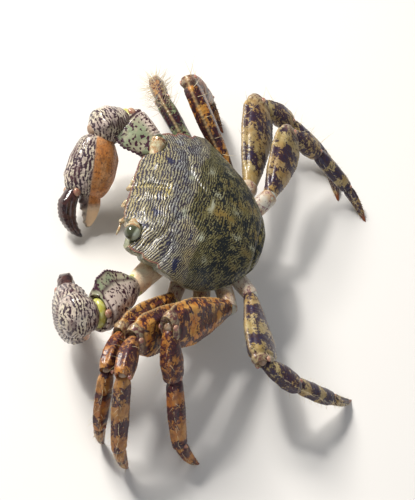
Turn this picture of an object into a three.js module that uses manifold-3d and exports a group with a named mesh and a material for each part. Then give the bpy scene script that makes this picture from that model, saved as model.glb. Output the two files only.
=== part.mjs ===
// A marbled shore crab, life size, as a still museum model.
// Millimetres, Z up. The crab faces -Y and its left side is +X. Its feet stand on the plane z = 0.
import * as THREE from 'three';
import Module from 'manifold-3d';

const wasm = await Module();
wasm.setup();

// ---- driving dimensions ----
const GAP = 0.3; // clear space between two pieces that meet at a joint
const BODY_HEIGHT = 19.8; // from the floor to the level of the carapace rim
const BODY_PITCH = 5; // degrees, nose up
const BODY_TURN = -2; // degrees, the tail swung to the left
const BODY_SHIFT = 0.3; // the body leans this much towards its left legs
const CENTRE = [4, 7.7]; // middle of the standing crab, seen from above
const CARAPACE_FLOOR = -5.4; // lower rim of the carapace, under the rim level
const FRONT_FLOOR = -4.2; // lower edge of the front lip
const STERNUM_FLOOR = -13.4; // breast plate, under the rim level

const SHELL = { color: 0x6f6a3c, roughness: 0.35, metalness: 0 };
const BELLY = { color: 0xcfc8a4, roughness: 0.5, metalness: 0 };
const LEG = { color: 0xb98a45, roughness: 0.4, metalness: 0 };
const CLAW = { color: 0xa49c94, roughness: 0.35, metalness: 0 };
const FINGER = { color: 0x5b3b30, roughness: 0.3, metalness: 0 };
const EYE = { color: 0x15180f, roughness: 0.08, metalness: 0 };

// ---- solids from rings of points ----
// Closes a stack of equal rings. Each ring runs anticlockwise about the way the stack goes.
function stackRings(rings) {
  const sides = rings[0].length;
  const points = rings.flat();
  const middle = (ring) => ring.reduce((sum, p) => sum.add(p), new THREE.Vector3()).divideScalar(sides);
  const first = points.length;
  const last = first + 1;
  points.push(middle(rings[0]), middle(rings[rings.length - 1]));
  const faces = [];
  for (let side = 0; side < sides; side++) {
    const next = (side + 1) % sides;
    for (let ring = 0; ring + 1 < rings.length; ring++) {
      const here = ring * sides;
      const there = here + sides;
      faces.push(here + side, here + next, there + next);
      faces.push(here + side, there + next, there + side);
    }
    const end = (rings.length - 1) * sides;
    faces.push(first, next, side, last, end + side, end + next);
  }
  const vertProperties = new Float32Array(points.flatMap((p) => p.toArray()));
  return new wasm.Manifold(new wasm.Mesh({ numProp: 3, vertProperties, triVerts: new Uint32Array(faces) }));
}

// One segment of a limb: flattened oval sections along the line from one joint to the next.
// A station is [place along the line, reach up, reach down, half thickness].
// `up` is the way the sections' long side points, `bow` lifts the middle of the line that way.
function segment({ from, to, up, stations, sides = 8, bow = 0, square = 2.2 }, grow = 0) {
  const line = to.clone().sub(from);
  const along = line.clone().normalize();
  const tall = up.clone().addScaledVector(along, -up.dot(along)).normalize();
  const flat = along.clone().cross(tall);
  const power = 2 / square;
  const rings = stations.map(([place, above, below, thick], index) => {
    const end = index === 0 ? -grow : index === stations.length - 1 ? grow : 0;
    const centre = from.clone().addScaledVector(line, place).addScaledVector(along, end);
    centre.addScaledVector(tall, bow * 4 * place * (1 - place));
    return Array.from({ length: sides }, (_, side) => {
      const angle = ((side + 0.5) * 2 * Math.PI) / sides;
      const rise = Math.sign(Math.cos(angle)) * Math.abs(Math.cos(angle)) ** power;
      const width = Math.sign(Math.sin(angle)) * Math.abs(Math.sin(angle)) ** power;
      const reach = rise > 0 ? above : below;
      const point = centre.clone().addScaledVector(tall, rise * (reach + grow));
      return point.addScaledVector(flat, width * (thick + grow));
    });
  });
  return stackRings(rings);
}

// Stations of a limb of another size: the widths change, the places along the line don't.
function scaled(stations, size) {
  return stations.map(([place, ...reach]) => [place, ...reach.map((r) => r * size)]);
}

// Keeps the largest body when a cut leaves slivers.
function largest(solid) {
  return solid.decompose().sort((a, b) => b.volume() - a.volume())[0];
}

// ---- the model's meshes ----
const crab = new THREE.Group();

function addMesh(name, solid, look) {
  const { vertProperties, triVerts, numProp } = solid.getMesh();
  const position = new Float32Array((vertProperties.length / numProp) * 3);
  for (let i = 0; i < position.length; i++) {
    position[i] = vertProperties[Math.floor(i / 3) * numProp + (i % 3)];
  }
  const geometry = new THREE.BufferGeometry();
  geometry.setAttribute('position', new THREE.BufferAttribute(position, 3));
  geometry.setIndex(Array.from(triVerts));
  geometry.computeVertexNormals();
  const mesh = new THREE.Mesh(geometry, new THREE.MeshStandardMaterial(look));
  mesh.name = name;
  crab.add(mesh);
}

// ---- walking legs ----
// Widths of a full-size leg, for each segment from the body outwards.
const BASE = [
  [0, 2, 2, 1.7],
  [0.5, 2.1, 2.1, 1.7],
  [1, 2, 2, 1.5],
  [1.18, 1.5, 1.5, 1.1],
  [1.28, 0.7, 0.7, 0.6],
];
const MERUS = [
  [0, 1.6, 1.6, 1.2],
  [0.12, 1.9, 2.2, 1.4],
  [0.35, 2.9, 3.5, 1.7],
  [0.65, 3.8, 4.8, 1.9],
  [0.88, 3.8, 4.5, 1.9],
  [1, 2.9, 3.3, 1.7],
  [1.07, 2, 2.2, 1.3],
  [1.11, 0.9, 0.9, 0.7],
];
const CARPUS = [
  [0, 1.5, 1.5, 1.1],
  [0.3, 2.1, 2, 1.5],
  [0.7, 2.7, 2.5, 1.8],
  [1, 2.5, 2.3, 1.7],
  [1.12, 1.8, 1.7, 1.2],
  [1.18, 0.8, 0.8, 0.6],
];
const PROPODUS = [
  [0, 1.4, 1.4, 1],
  [0.15, 1.9, 1.8, 1.4],
  [0.5, 2, 1.9, 1.5],
  [0.9, 1.8, 1.7, 1.4],
  [1, 1.6, 1.5, 1.2],
  [1.08, 0.9, 0.9, 0.7],
];
const DACTYLUS = [
  [0, 1, 1, 0.8],
  [0.15, 1.4, 1.3, 1.1],
  [0.5, 1.1, 1, 0.9],
  [0.85, 0.65, 0.6, 0.55],
  [1.1, 0.4, 0.4, 0.4],
];

// Joints of each leg from the body to the foot: coxa, ischium, knee, carpus, propodus, tip.
const LEGS = {
  leg2_l: {
    size: 0.9,
    joints: [[10.5, 0.2, 11.8], [16.8, -0.5, 12], [31.8, -9.4, 17.5],
      [40.5, -10.7, 18.8], [45.5, -8, 8], [44.5, -5.5, 0]],
  },
  leg3_l: {
    size: 0.98,
    joints: [[10.5, 4.4, 11.8], [16.8, 5, 12], [33.5, -7.2, 20],
      [42, -8, 21.2], [49, -3.8, 8.6], [48, 0, 0]],
  },
  leg4_l: {
    size: 1,
    joints: [[9.8, 8, 12.3], [15.5, 10.3, 13.2], [30.5, -2, 22.6],
      [35.5, 2, 15.5], [43.5, 7.5, 6.5], [42.8, 13, 0]],
  },
  leg5_l: {
    size: 0.92,
    joints: [[7.8, 10.8, 12.5], [11, 14, 13], [26.5, 18, 15.5],
      [26.4, 26, 11.4], [22.8, 35.5, 5], [18.8, 41.5, 0]],
  },
  leg2_r: {
    size: 0.9,
    joints: [[-10.5, 0.2, 12], [-16, -1, 12.5], [-27, -11.8, 15],
      [-34.2, -13.2, 11], [-41.5, -12.5, 3.8], [-37, -7, 0]],
  },
  leg3_r: {
    size: 0.98,
    joints: [[-10.5, 4.2, 11.8], [-16, 6, 12], [-28, -8.5, 22],
      [-33, -4.5, 15], [-41, -1, 5], [-38, 4.5, 0]],
  },
  leg4_r: {
    size: 1,
    joints: [[-9.5, 8, 12], [-15, 10, 12.3], [-36.5, 8.3, 13.5],
      [-39, 16.5, 8.8], [-37.5, 28, 3], [-30.5, 33, 0]],
  },
  leg5_r: {
    size: 0.92,
    joints: [[-7.5, 10.8, 13], [-12, 13.8, 15], [-29, 15.5, 16],
      [-31.5, 23, 11], [-31, 33, 4.2], [-27.3, 39.7, 0]],
  },
};
// Name, sections and bow of each segment.
const LEG_SEGMENTS = [
  ['base', BASE, 0],
  ['merus', MERUS, 0],
  ['carpus', CARPUS, 0.2],
  ['propodus', PROPODUS, 0.2],
  ['dactylus', DACTYLUS, 0.5],
];

const bodyClearance = []; // what the body is hollowed by, so that limbs leave it freely

for (const [name, { size, joints }] of Object.entries(LEGS)) {
  const at = joints.map((p) => new THREE.Vector3(...p));
  const thigh = at[2].clone().sub(at[1]);
  const bend = thigh.clone().cross(at[4].clone().sub(at[2])).normalize();
  let inner = null;
  LEG_SEGMENTS.forEach(([part, stations, bow], index) => {
    const along = at[index + 1].clone().sub(at[index]);
    const shape = { from: at[index], to: at[index + 1], stations: scaled(stations, size), bow };
    shape.up = along.clone().cross(bend).normalize();
    let solid = segment(shape);
    if (inner) {
      solid = largest(solid.subtract(segment(inner, GAP)));
    }
    if (part === 'dactylus') {
      solid = solid.trimByPlane([0, 0, 1], 0);
    }
    if (index < 2) {
      bodyClearance.push(segment(shape, GAP));
    }
    addMesh(`${name}_${part}`, solid, LEG);
    inner = shape;
  });
}

// ---- chelipeds ----
const CLAW_BASE = [
  [0, 2.6, 2.6, 2.3],
  [0.5, 2.4, 2.4, 2.1],
  [1, 2.2, 2.2, 1.9],
  [1.15, 1.6, 1.6, 1.3],
  [1.22, 0.8, 0.8, 0.7],
];
const CLAW_MERUS = [
  [0, 1.9, 1.9, 1.5],
  [0.25, 3.8, 2.9, 2.4],
  [0.6, 6.2, 3.8, 2.9],
  [0.9, 5.8, 4, 3],
  [1.05, 3, 3, 2.3],
  [1.15, 1.2, 1.4, 1.2],
];
const CLAW_CARPUS = [
  [0, 1.9, 1.9, 1.8],
  [0.2, 3.1, 3, 2.8],
  [0.55, 4.2, 4.1, 3.4],
  [0.9, 3.9, 3.8, 3.1],
  [1.1, 2.7, 2.6, 2.2],
  [1.22, 1.2, 1.2, 1.2],
];
const PALM = [
  [0, 2, 2.4, 1.7],
  [0.12, 3.4, 4.2, 2.7],
  [0.4, 5, 5.4, 3.5],
  [0.75, 5.9, 4.6, 3.7],
  [0.95, 5.6, 3.6, 3.1],
  [1.05, 4, 2.6, 2.2],
];
const POLLEX = [
  [0, 2.4, 2.2, 2],
  [0.35, 2.1, 1.9, 1.8],
  [0.7, 1.4, 1.3, 1.3],
  [1, 0.6, 0.5, 0.5],
];
const MOVABLE = [
  [0, 1.7, 1.7, 1.4],
  [0.15, 2.2, 2, 1.8],
  [0.5, 1.7, 1.6, 1.5],
  [0.8, 1.1, 1.1, 1],
  [1, 0.5, 0.5, 0.5],
];

// The arm's joints are coxa, ischium, elbow and end of the carpus. Palm and fingers run root to tip.
const CLAWS = {
  claw_l: {
    arm: [[9.5, -4.6, 12], [17.2, -8.4, 12.4], [28.6, -14.4, 16.8], [32, -20.4, 16.8]],
    palm: [[31.3, -18.8, 16.3], [23.6, -17.8, 6.9]],
    lamina: [-0.5, -0.5, 0.6],
    dorsal: [-0.62, -0.5, 0.6],
    finger: [[20.8, -20.4, 9.2], [16.4, -18.2, 0.9]],
    pollex: [[24, -17, 6.2], [17.8, -16.4, 0.8]],
  },
  claw_r: {
    arm: [[-9.5, -5, 12], [-14.4, -8.8, 12.8], [-20.4, -17.6, 13.5], [-15, -24, 13.5]],
    palm: [[-14.8, -23, 13], [-5.4, -20.7, 6]],
    lamina: [0.9, -0.4, 0.1],
    dorsal: [0.5, -0.82, 0.26],
    finger: [[-3.5, -24.2, 7.2], [2, -19.6, 1]],
    pollex: [[-5.6, -20.9, 6.2], [-0.5, -18.7, 1.4]],
  },
};

for (const [name, { arm, palm: hand, lamina, dorsal, finger, pollex }] of Object.entries(CLAWS)) {
  const at = arm.map((p) => new THREE.Vector3(...p));
  const [palmRoot, palmEnd] = hand.map((p) => new THREE.Vector3(...p));
  const [fingerRoot, fingerTip] = finger.map((p) => new THREE.Vector3(...p));
  const [pollexRoot, pollexTip] = pollex.map((p) => new THREE.Vector3(...p));
  const blade = new THREE.Vector3(...lamina);
  const back = new THREE.Vector3(...dorsal);
  const base = { from: at[0], to: at[1], up: blade, stations: CLAW_BASE };
  const merus = { from: at[1], to: at[2], up: blade, stations: CLAW_MERUS, sides: 10 };
  const carpus = { from: at[2], to: at[3], up: back, stations: CLAW_CARPUS, sides: 10 };
  const palm = { from: palmRoot, to: palmEnd, up: back, stations: PALM, sides: 12 };
  const fixed = { from: pollexRoot, to: pollexTip, up: back, stations: POLLEX, bow: -0.4 };
  const moving = { from: fingerRoot, to: fingerTip, up: back, stations: MOVABLE, bow: 2 };
  const handed = segment(palm).add(segment(fixed));
  const claw = handed.subtract(segment(carpus, GAP)).subtract(segment(merus, GAP));
  addMesh(`${name}_base`, segment(base), CLAW);
  addMesh(`${name}_merus`, largest(segment(merus).subtract(segment(base, GAP))), CLAW);
  addMesh(`${name}_carpus`, largest(segment(carpus).subtract(segment(merus, GAP))), CLAW);
  addMesh(`${name}_palm`, largest(claw), CLAW);
  addMesh(`${name}_finger`, largest(segment(moving).subtract(segment(palm, GAP))), FINGER);
  bodyClearance.push(segment(base, GAP), segment(merus, GAP));
}

// ---- body ----
// The body is drawn level, in its own frame: the middle of the carapace rim is the origin.
// Half widths of the rim, with the three teeth of each side, against the distance forwards.
const RIM = [
  [14.2, 5], [13.6, 9], [12.3, 13],
  [11.6, 14.2], [10.4, 15.2], [9.1, 15.2],
  [8.6, 15.9], [7.4, 16.3], [5.9, 16.1],
  [5.3, 16.8], [2.6, 17.4], [-1, 17.2],
  [-4.2, 16.1], [-7, 14.4], [-9.8, 11.8],
  [-12, 8.9], [-13.5, 6.4], [-14.3, 4],
];
// Height of the back along the midline, against the distance forwards.
function ridge(forward) {
  const fall = forward > 0 ? 4.6 * (forward / 14.2) ** 4 : 4.2 * (forward / 14.3) ** 2;
  return 2.2 - fall;
}
// Height of the rim itself: nearly level at the teeth, lower towards the tail.
function rimHeight(forward) {
  if (forward > 3) {
    return -0.5 - 1.9 * ((forward - 3) / 11.2) ** 3;
  }
  return -0.5 - 2.8 * Math.sin((Math.PI / 2) * Math.min(1, (3 - forward) / 9));
}
const TOP_POINTS = 9; // points across the back, rim to rim
const RIM_THICKNESS = 1; // the sharp edge that runs round the back
const WALL_TAPER = 0.84; // half width at the foot of the side wall, as a share of the rim's
const WALL_INSET = 0.6; // and how much further in than that

function carapaceRing([forward, half]) {
  const ring = [];
  for (let i = 0; i < TOP_POINTS; i++) {
    const across = -Math.cos((Math.PI * i) / (TOP_POINTS - 1));
    const height = ridge(forward) + (rimHeight(forward) - ridge(forward)) * Math.abs(across) ** 3;
    ring.push(new THREE.Vector3(-across * half, -forward, height));
  }
  const edge = half - RIM_THICKNESS / 2;
  const under = rimHeight(forward) - RIM_THICKNESS;
  const wall = half * WALL_TAPER - WALL_INSET;
  const low = forward > 13 ? FRONT_FLOOR : CARAPACE_FLOOR;
  ring.push(new THREE.Vector3(-edge, -forward, under));
  ring.push(new THREE.Vector3(-wall, -forward, low));
  ring.push(new THREE.Vector3(wall, -forward, low));
  ring.push(new THREE.Vector3(edge, -forward, under));
  return ring.reverse();
}

// Half width at the top, half width at the bottom, and depth of the underside, front to back.
const UNDER = [
  [12.4, 6, 4.5, -7.6],
  [11, 9.5, 6.5, -9.6],
  [7.5, 11.5, 8, -11.6],
  [3, 12.4, 9, -13],
  [-3, 12.4, 9, STERNUM_FLOOR],
  [-8, 10.4, 7, -12.4],
  [-11.2, 7.6, 5, -10],
  [-12.8, 5.4, 3.6, -8],
];
function underRing([forward, top, bottom, depth]) {
  const roof = CARAPACE_FLOOR - GAP;
  const half = [[top, roof], [top, roof - 1], [bottom, depth + 0.8], [bottom * 0.6, depth]];
  const right = half.map(([side, height]) => [-side, height]);
  const outline = [...right, ...half.reverse()];
  return outline.map(([side, height]) => new THREE.Vector3(side, -forward, height)).reverse();
}

// Sets a solid drawn in the body's frame in its place over the floor.
function stand(solid) {
  return solid.rotate([-BODY_PITCH, 0, BODY_TURN]).translate([BODY_SHIFT, 0, BODY_HEIGHT]);
}

// Hollows a body solid where the limbs leave it.
function clearOfLimbs(solid) {
  return largest(bodyClearance.reduce((body, limb) => body.subtract(limb), solid));
}

// Eye stalks point outwards and a little forwards, in notches under the front corners.
const ORBIT = [[-0.1, 2, 2, 2], [0.6, 2.2, 2.2, 2.2], [1.3, 2.1, 2.1, 2.1], [1.5, 1.4, 1.4, 1.4]];
const STALK = [[0.05, 1, 1, 1], [0.4, 1.1, 1.1, 1.1], [0.75, 1.4, 1.4, 1.4]];
const EYE_RADIUS = 1.5;
const EYES = {};
for (const [side, sign] of [['l', 1], ['r', -1]]) {
  const root = new THREE.Vector3(sign * 8.8, -11.8, -1.4);
  const ball = new THREE.Vector3(sign * 11.6, -12, -0.4);
  const up = new THREE.Vector3(0, 0, 1);
  EYES[side] = {
    notch: { from: root, to: ball, up, stations: ORBIT },
    stalk: { from: root, to: ball, up, stations: STALK },
    ball,
  };
}

let carapace = stackRings(RIM.map(carapaceRing));
for (const side of ['l', 'r']) {
  carapace = carapace.subtract(segment(EYES[side].notch));
}
addMesh('carapace', clearOfLimbs(stand(carapace)), SHELL);
addMesh('underbody', clearOfLimbs(stand(stackRings(UNDER.map(underRing)))), BELLY);

// Tail flap, folded flat under the breast plate: narrow and stepped, as on a male.
const ABDOMEN = [[2.5, 0.8], [0, 1.6], [-3, 2.4], [-6, 3.2], [-9, 3.6], [-11, 3.4]];
const FLAP_THICKNESS = 0.8;
const FLAP_RISE = 0.42; // how steeply the breast plate climbs towards the tail
function abdomenRing([forward, half]) {
  const climb = forward < -3 ? -(forward + 3) * FLAP_RISE : 0;
  const roof = STERNUM_FLOOR + climb - GAP;
  const floor = roof - FLAP_THICKNESS;
  const ring = [[-half, roof], [-half, floor], [half, floor], [half, roof]];
  return ring.map(([side, height]) => new THREE.Vector3(side, -forward, height)).reverse();
}
const abdomen = stackRings(ABDOMEN.map(abdomenRing));
const underbodyTrim = stackRings(UNDER.map(underRing)).translate([0, 0, -GAP]);
addMesh('abdomen', largest(stand(abdomen.subtract(underbodyTrim))), BELLY);

// Outer mouth parts: one curved shield in front of the mouth.
const MOUTH = {
  from: new THREE.Vector3(0, -12.6, -5.9),
  to: new THREE.Vector3(0, -10.8, -11.4),
  up: new THREE.Vector3(1, 0, 0),
  stations: [[0, 4, 4, 0.6], [0.3, 4.4, 4.4, 0.8], [0.7, 3.9, 3.9, 0.8], [1, 2.6, 2.6, 0.6]],
};
const mouth = segment(MOUTH).subtract(stackRings(UNDER.map(underRing)).translate([0, -GAP, 0]));
addMesh('maxillipeds', largest(stand(mouth)), BELLY);

for (const side of ['l', 'r']) {
  const { ball, stalk } = EYES[side];
  const grown = wasm.Manifold.sphere(EYE_RADIUS + GAP, 12).translate(ball.toArray());
  addMesh(`eyestalk_${side}`, largest(stand(segment(stalk).subtract(grown))), LEG);
  addMesh(`eye_${side}`, stand(wasm.Manifold.sphere(EYE_RADIUS, 16).translate(ball.toArray())), EYE);
}

// Short feelers under the front edge, between the eyes.
const FEELER = [
  [0, 0.7, 0.7, 0.7],
  [0.3, 0.6, 0.6, 0.6],
  [0.4, 0.35, 0.35, 0.35],
  [1, 0.3, 0.3, 0.3],
];
for (const [side, sign] of [['l', 1], ['r', -1]]) {
  const from = new THREE.Vector3(sign * 5, -13.4, -6.9);
  const to = new THREE.Vector3(sign * 7.4, -13.2, -8.8);
  const up = new THREE.Vector3(0, 0, 1);
  addMesh(`antenna_${side}`, stand(segment({ from, to, up, stations: FEELER, sides: 6, bow: 0.5 })), LEG);
}

crab.position.set(-CENTRE[0], -CENTRE[1], 0);

export default crab;
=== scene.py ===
# %% [markdown]
# # A marbled shore crab, life size
# A shore crab is a box of hard plates joined by soft skin. Each leg is a chain of five plates,
# each claw has five too, and one wide plate covers the back. This lesson builds every plate as
# a closed skin of rings, raises its ridges and grains, and paints it with nodes alone.

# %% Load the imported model, which gives the size and the place of every plate
import math
import bpy
import numpy as np
from mathutils import Matrix, Vector


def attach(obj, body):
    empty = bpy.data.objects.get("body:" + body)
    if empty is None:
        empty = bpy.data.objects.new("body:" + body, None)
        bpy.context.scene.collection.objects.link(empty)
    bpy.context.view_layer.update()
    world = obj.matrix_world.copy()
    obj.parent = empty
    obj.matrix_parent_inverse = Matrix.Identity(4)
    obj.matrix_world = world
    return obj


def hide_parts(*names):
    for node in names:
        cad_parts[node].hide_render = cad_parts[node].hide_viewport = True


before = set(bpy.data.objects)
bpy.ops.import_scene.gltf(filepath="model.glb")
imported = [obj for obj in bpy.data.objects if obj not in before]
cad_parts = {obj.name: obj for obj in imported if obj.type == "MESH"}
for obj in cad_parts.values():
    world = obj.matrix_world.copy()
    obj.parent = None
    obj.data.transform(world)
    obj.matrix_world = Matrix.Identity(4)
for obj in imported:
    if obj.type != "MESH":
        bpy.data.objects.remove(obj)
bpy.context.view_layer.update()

MM = 0.001
CENTRE = np.array([4.0, 7.7, 0.0])  # the crab is drawn about its body, then moved by this

# %% [markdown]
# ## Camera, floor and light
# The crab is seen from high on its left side, as by someone who leans over it. A floor of pale
# card and three soft lamps are enough: a large one for the broad gleam on wet shell, a smaller
# one for sharp glints, and a weak one that keeps the shadows open.

# %% Camera
VIEW = {
    "eye": (175.26, -51.63, 243.76),
    "right": (-0.1609, 0.9350, 0.3162),
    "up": (-0.7863, -0.3150, 0.5315),
    "back": (0.5965, -0.1631, 0.7859),
}
SENSOR_WIDTH = 36.0
FOCAL_SHARE = 3.0  # focal length as a share of the picture's height
camera_data = bpy.data.cameras.new("camera")
camera_data.sensor_width = SENSOR_WIDTH
camera_data.lens = SENSOR_WIDTH * FOCAL_SHARE
camera_data.clip_start = 0.01
camera = bpy.data.objects.new("camera", camera_data)
turn = Matrix((VIEW["right"], VIEW["up"], VIEW["back"])).transposed().to_4x4()
camera.matrix_world = Matrix.Translation(Vector(VIEW["eye"]) * MM) @ turn
bpy.context.scene.collection.objects.link(camera)
bpy.context.scene.camera = camera
print("lens", round(camera_data.lens, 1))


# %% A helper for node trees
def node(tree, kind, out=0, props=None, **inputs):
    """Adds a node, sets its properties and inputs (by name, or i0, i1, ... by number), returns an output."""
    made = tree.nodes.new(kind)
    for name, value in (props or {}).items():
        setattr(made, name, value)
    for name, value in inputs.items():
        numbered = name[0] == "i" and name[1:].isdigit()
        plug = made.inputs[int(name[1:]) if numbered else name.replace("_", " ")]
        if isinstance(value, bpy.types.NodeSocket):
            tree.links.new(value, plug)
        else:
            plug.default_value = value
    return made.outputs[out]


def new_finish(name):
    """An empty material with a Principled shader, and its tree."""
    material = bpy.data.materials.new(name)
    material.use_nodes = True
    tree = material.node_tree
    return material, tree, tree.nodes["Principled BSDF"]


card, _, card_shader = new_finish("floor_card")
card_shader.inputs["Base Color"].default_value = (0.72, 0.70, 0.67, 1)
card_shader.inputs["Roughness"].default_value = 0.9
print("finish of the floor", card.name)

# %% Floor, world and lamps
FLOOR_HALF = 3.0
FLOOR_TOP = -0.00002  # a hair under the feet, so that the two never flicker into each other
floor_mesh = bpy.data.meshes.new("floor")
floor_mesh.from_pydata([(x * FLOOR_HALF, y * FLOOR_HALF, FLOOR_TOP) for x, y in ((-1, -1), (1, -1), (1, 1), (-1, 1))],
                       [], [(0, 1, 2, 3)])
floor_mesh.materials.append(card)
floor = bpy.data.objects.new("floor", floor_mesh)
bpy.context.scene.collection.objects.link(floor)

world = bpy.data.worlds.new("studio")
world.use_nodes = True
world.node_tree.nodes["Background"].inputs["Color"].default_value = (0.93, 0.95, 1.0, 1)
world.node_tree.nodes["Background"].inputs["Strength"].default_value = 0.28
bpy.context.scene.world = world
bpy.context.scene.view_settings.view_transform = "Standard"


BACK_MIDDLE = (0, 0, 0.012)  # what the lamps look at


def lamp(name, place, size, power, tint):
    """A square soft lamp that looks at the crab's back."""
    data = bpy.data.lights.new(name, "AREA")
    data.size = size
    data.energy = power
    data.color = tint
    lit = bpy.data.objects.new(name, data)
    aim = Vector(BACK_MIDDLE) - Vector(place)
    lit.matrix_world = Matrix.Translation(Vector(place)) @ aim.to_track_quat("-Z", "Y").to_matrix().to_4x4()
    bpy.context.scene.collection.objects.link(lit)


lamp("lamp_broad", (-0.22, -0.36, 0.36), 0.18, 3.7, (1, 0.97, 0.92))
lamp("lamp_small", (-0.10, -0.34, 0.40), 0.05, 1.5, (1, 0.98, 0.95))
lamp("lamp_fill", (0.4, 0.3, 0.3), 0.5, 0.9, (0.95, 0.97, 1))
print("lamps", [lit.name for lit in bpy.data.lights])

# %% [markdown]
# ## Noise
# Shell is never regular. A noise texture could roughen it in the shader only, but here the ridges
# themselves have to wander, so the noise is worked out for every point of a mesh. It hashes the
# corners of a grid of cells and blends between them, which gives the same result on each run.


# %% Lattice noise for whole arrays of points
def lattice(cell, seed):
    """A fixed value from -1 to 1 for each whole-number cell."""
    mixed = cell[..., 0] * 73856093 ^ cell[..., 1] * 19349663 ^ cell[..., 2] * 83492791 ^ (seed * 2654435761)
    mixed = (mixed ^ (mixed >> 13)) * 1274126177 & 0x7FFFFFFF
    mixed = (mixed ^ (mixed >> 15)) * 668265263 & 0x7FFFFFFF
    return mixed / 0x3FFFFFFF - 1.0


def noise(points, size, seed=0):
    """Smooth noise from -1 to 1 with features about `size` across."""
    scaled = np.asarray(points, float) / size + 1000.5
    cell = np.floor(scaled).astype(np.int64)
    part = scaled - cell
    part = part * part * part * (part * (part * 6 - 15) + 10)
    total = 0.0
    for corner in np.ndindex(2, 2, 2):
        weight = np.prod(np.where(np.array(corner) == 1, part, 1 - part), axis=-1)
        total = total + weight * lattice(cell + np.array(corner), seed)
    return total


def step(low, high, value):
    """Rises smoothly from 0 at `low` to 1 at `high`."""
    share = np.clip((np.asarray(value, float) - low) / (high - low), 0, 1)
    return share * share * (3 - 2 * share)


print("noise", round(float(noise(np.zeros((1, 3)), 1.0)[0]), 3))

# %% [markdown]
# ## Skins made of rings
# On the animal a plate is a hard shell round flesh. A bare tube would be open at its ends, so every
# plate is a stack of rings that is closed there: a solid whose faces point outwards. The points
# carry named marks (how orange, which ridge, how far along), which the paint reads, so that the
# markings follow the plate. A UV map, round the plate and along it, is for later painting.


# %% Build a closed mesh from a stack of rings
def skin(name, rings, finishes, lie=None, marks=None, faces_of=None):
    """Closes a (count, sides, 3) stack of rings in millimetres and makes it an object in metres.

    `lie` is each ring's place along the plate, for the UV map. `marks` are values for each point.
    `faces_of` is the number of the finish for each point's face.
    """
    count, sides, _ = rings.shape
    ends = np.stack([rings[0].mean(0), rings[-1].mean(0)])
    points = (np.concatenate([rings.reshape(-1, 3), ends]) - CENTRE) * MM
    ring, side = np.meshgrid(np.arange(count - 1), np.arange(sides), indexing="ij")
    after = (side + 1) % sides
    quads = np.stack([ring * sides + side, ring * sides + after,
                      (ring + 1) * sides + after, (ring + 1) * sides + side], -1).reshape(-1, 4)
    around = np.arange(sides)
    beyond = (around + 1) % sides
    last = (count - 1) * sides
    first_fan = np.stack([np.full(sides, count * sides), beyond, around], -1)
    last_fan = np.stack([np.full(sides, count * sides + 1), last + around, last + beyond], -1)
    corners = np.concatenate([quads.ravel(), first_fan.ravel(), last_fan.ravel()])
    sizes = np.concatenate([np.full(len(quads), 4), np.full(2 * sides, 3)])
    starts = np.concatenate([[0], np.cumsum(sizes)[:-1]])
    mesh = bpy.data.meshes.new(name)
    mesh.vertices.add(len(points))
    mesh.vertices.foreach_set("co", points.ravel())
    mesh.loops.add(len(corners))
    mesh.loops.foreach_set("vertex_index", corners.astype(np.int32))
    mesh.polygons.add(len(sizes))
    mesh.polygons.foreach_set("loop_start", starts.astype(np.int32))
    mesh.polygons.foreach_set("use_smooth", np.ones(len(sizes), bool))
    mesh.update(calc_edges=True)
    if lie is not None:
        place = np.concatenate([lie, lie[[0, -1]]])
        turn_u = (side / sides).ravel()
        next_u = ((side + 1) / sides).ravel()
        low, high = place[ring.ravel()], place[ring.ravel() + 1]
        quad_map = np.stack([turn_u, low, next_u, low, next_u, high, turn_u, high], -1).ravel()
        fan_u = around / sides
        fans = []
        for end, (second, third) in ((0, (1, 0)), (-1, (0, 1))):
            level = np.full(sides, lie[end])
            fan = [fan_u, level, fan_u + second / sides, level, fan_u + third / sides, level]
            fans.append(np.stack(fan, -1).ravel())
        uv_layer = mesh.uv_layers.new(name="Lie")
        uv_layer.data.foreach_set("uv", np.concatenate([quad_map, *fans]).astype(np.float32))
    for mark, values in (marks or {}).items():
        flat = values.reshape(count * sides)
        whole = np.concatenate([flat, [flat[:sides].mean(), flat[-sides:].mean()]])
        mesh.attributes.new(mark, "FLOAT", "POINT").data.foreach_set("value", whole.astype(np.float32))
    for finish in finishes:
        mesh.materials.append(finish)
    if faces_of is not None:
        chosen = np.concatenate([faces_of[:-1].ravel(), faces_of[0], faces_of[-1]])
        mesh.polygons.foreach_set("material_index", chosen.astype(np.int32))
    made = bpy.data.objects.new(name, mesh)
    bpy.context.scene.collection.objects.link(made)
    return made


def outward(rings):
    """Unit normals of a stack of rings, pointing out."""
    around = np.roll(rings, -1, axis=1) - np.roll(rings, 1, axis=1)
    along = np.gradient(rings, axis=0)
    normal = np.cross(around, along)
    length = np.linalg.norm(normal, axis=-1, keepdims=True)
    return normal / np.maximum(length, 1e-9)


def unit(vector):
    """The vector with its length made 1."""
    vector = np.asarray(vector, float)
    return vector / np.linalg.norm(vector)


print("unit of (3, 0, 4)", unit((3, 0, 4)))

# %% [markdown]
# ## One plate of a limb
# A plate's widths are given at a few stations along the line from joint to joint. They are
# blended into a smooth tube of flattened sections. The near end is a rounded neck. The far end
# is a cup with a lip, cut back on the side to which the next plate bends.


# %% Widths between stations
SOFTNESS = 0.06  # how far the corners of a station table are rounded, as a share of the plate
FINE_STEPS = 1200


def blend_stations(stations, places):
    """Widths at each place, with the corners of the station table rounded off."""
    table = np.array(stations, float)
    fine = np.linspace(table[0, 0] - 3 * SOFTNESS, table[-1, 0] + 3 * SOFTNESS, FINE_STEPS)
    wide = max(3, int(SOFTNESS / (fine[1] - fine[0])) * 2 + 1)
    kernel = np.hanning(wide + 2)[1:-1]
    kernel /= kernel.sum()
    out = []
    for column in (1, 2, 3):
        line = np.interp(fine, table[:, 0], table[:, column])
        padded = np.pad(line, wide // 2, mode="edge")
        out.append(np.interp(places, fine, np.convolve(padded, kernel, mode="valid")))
    return out


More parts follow.
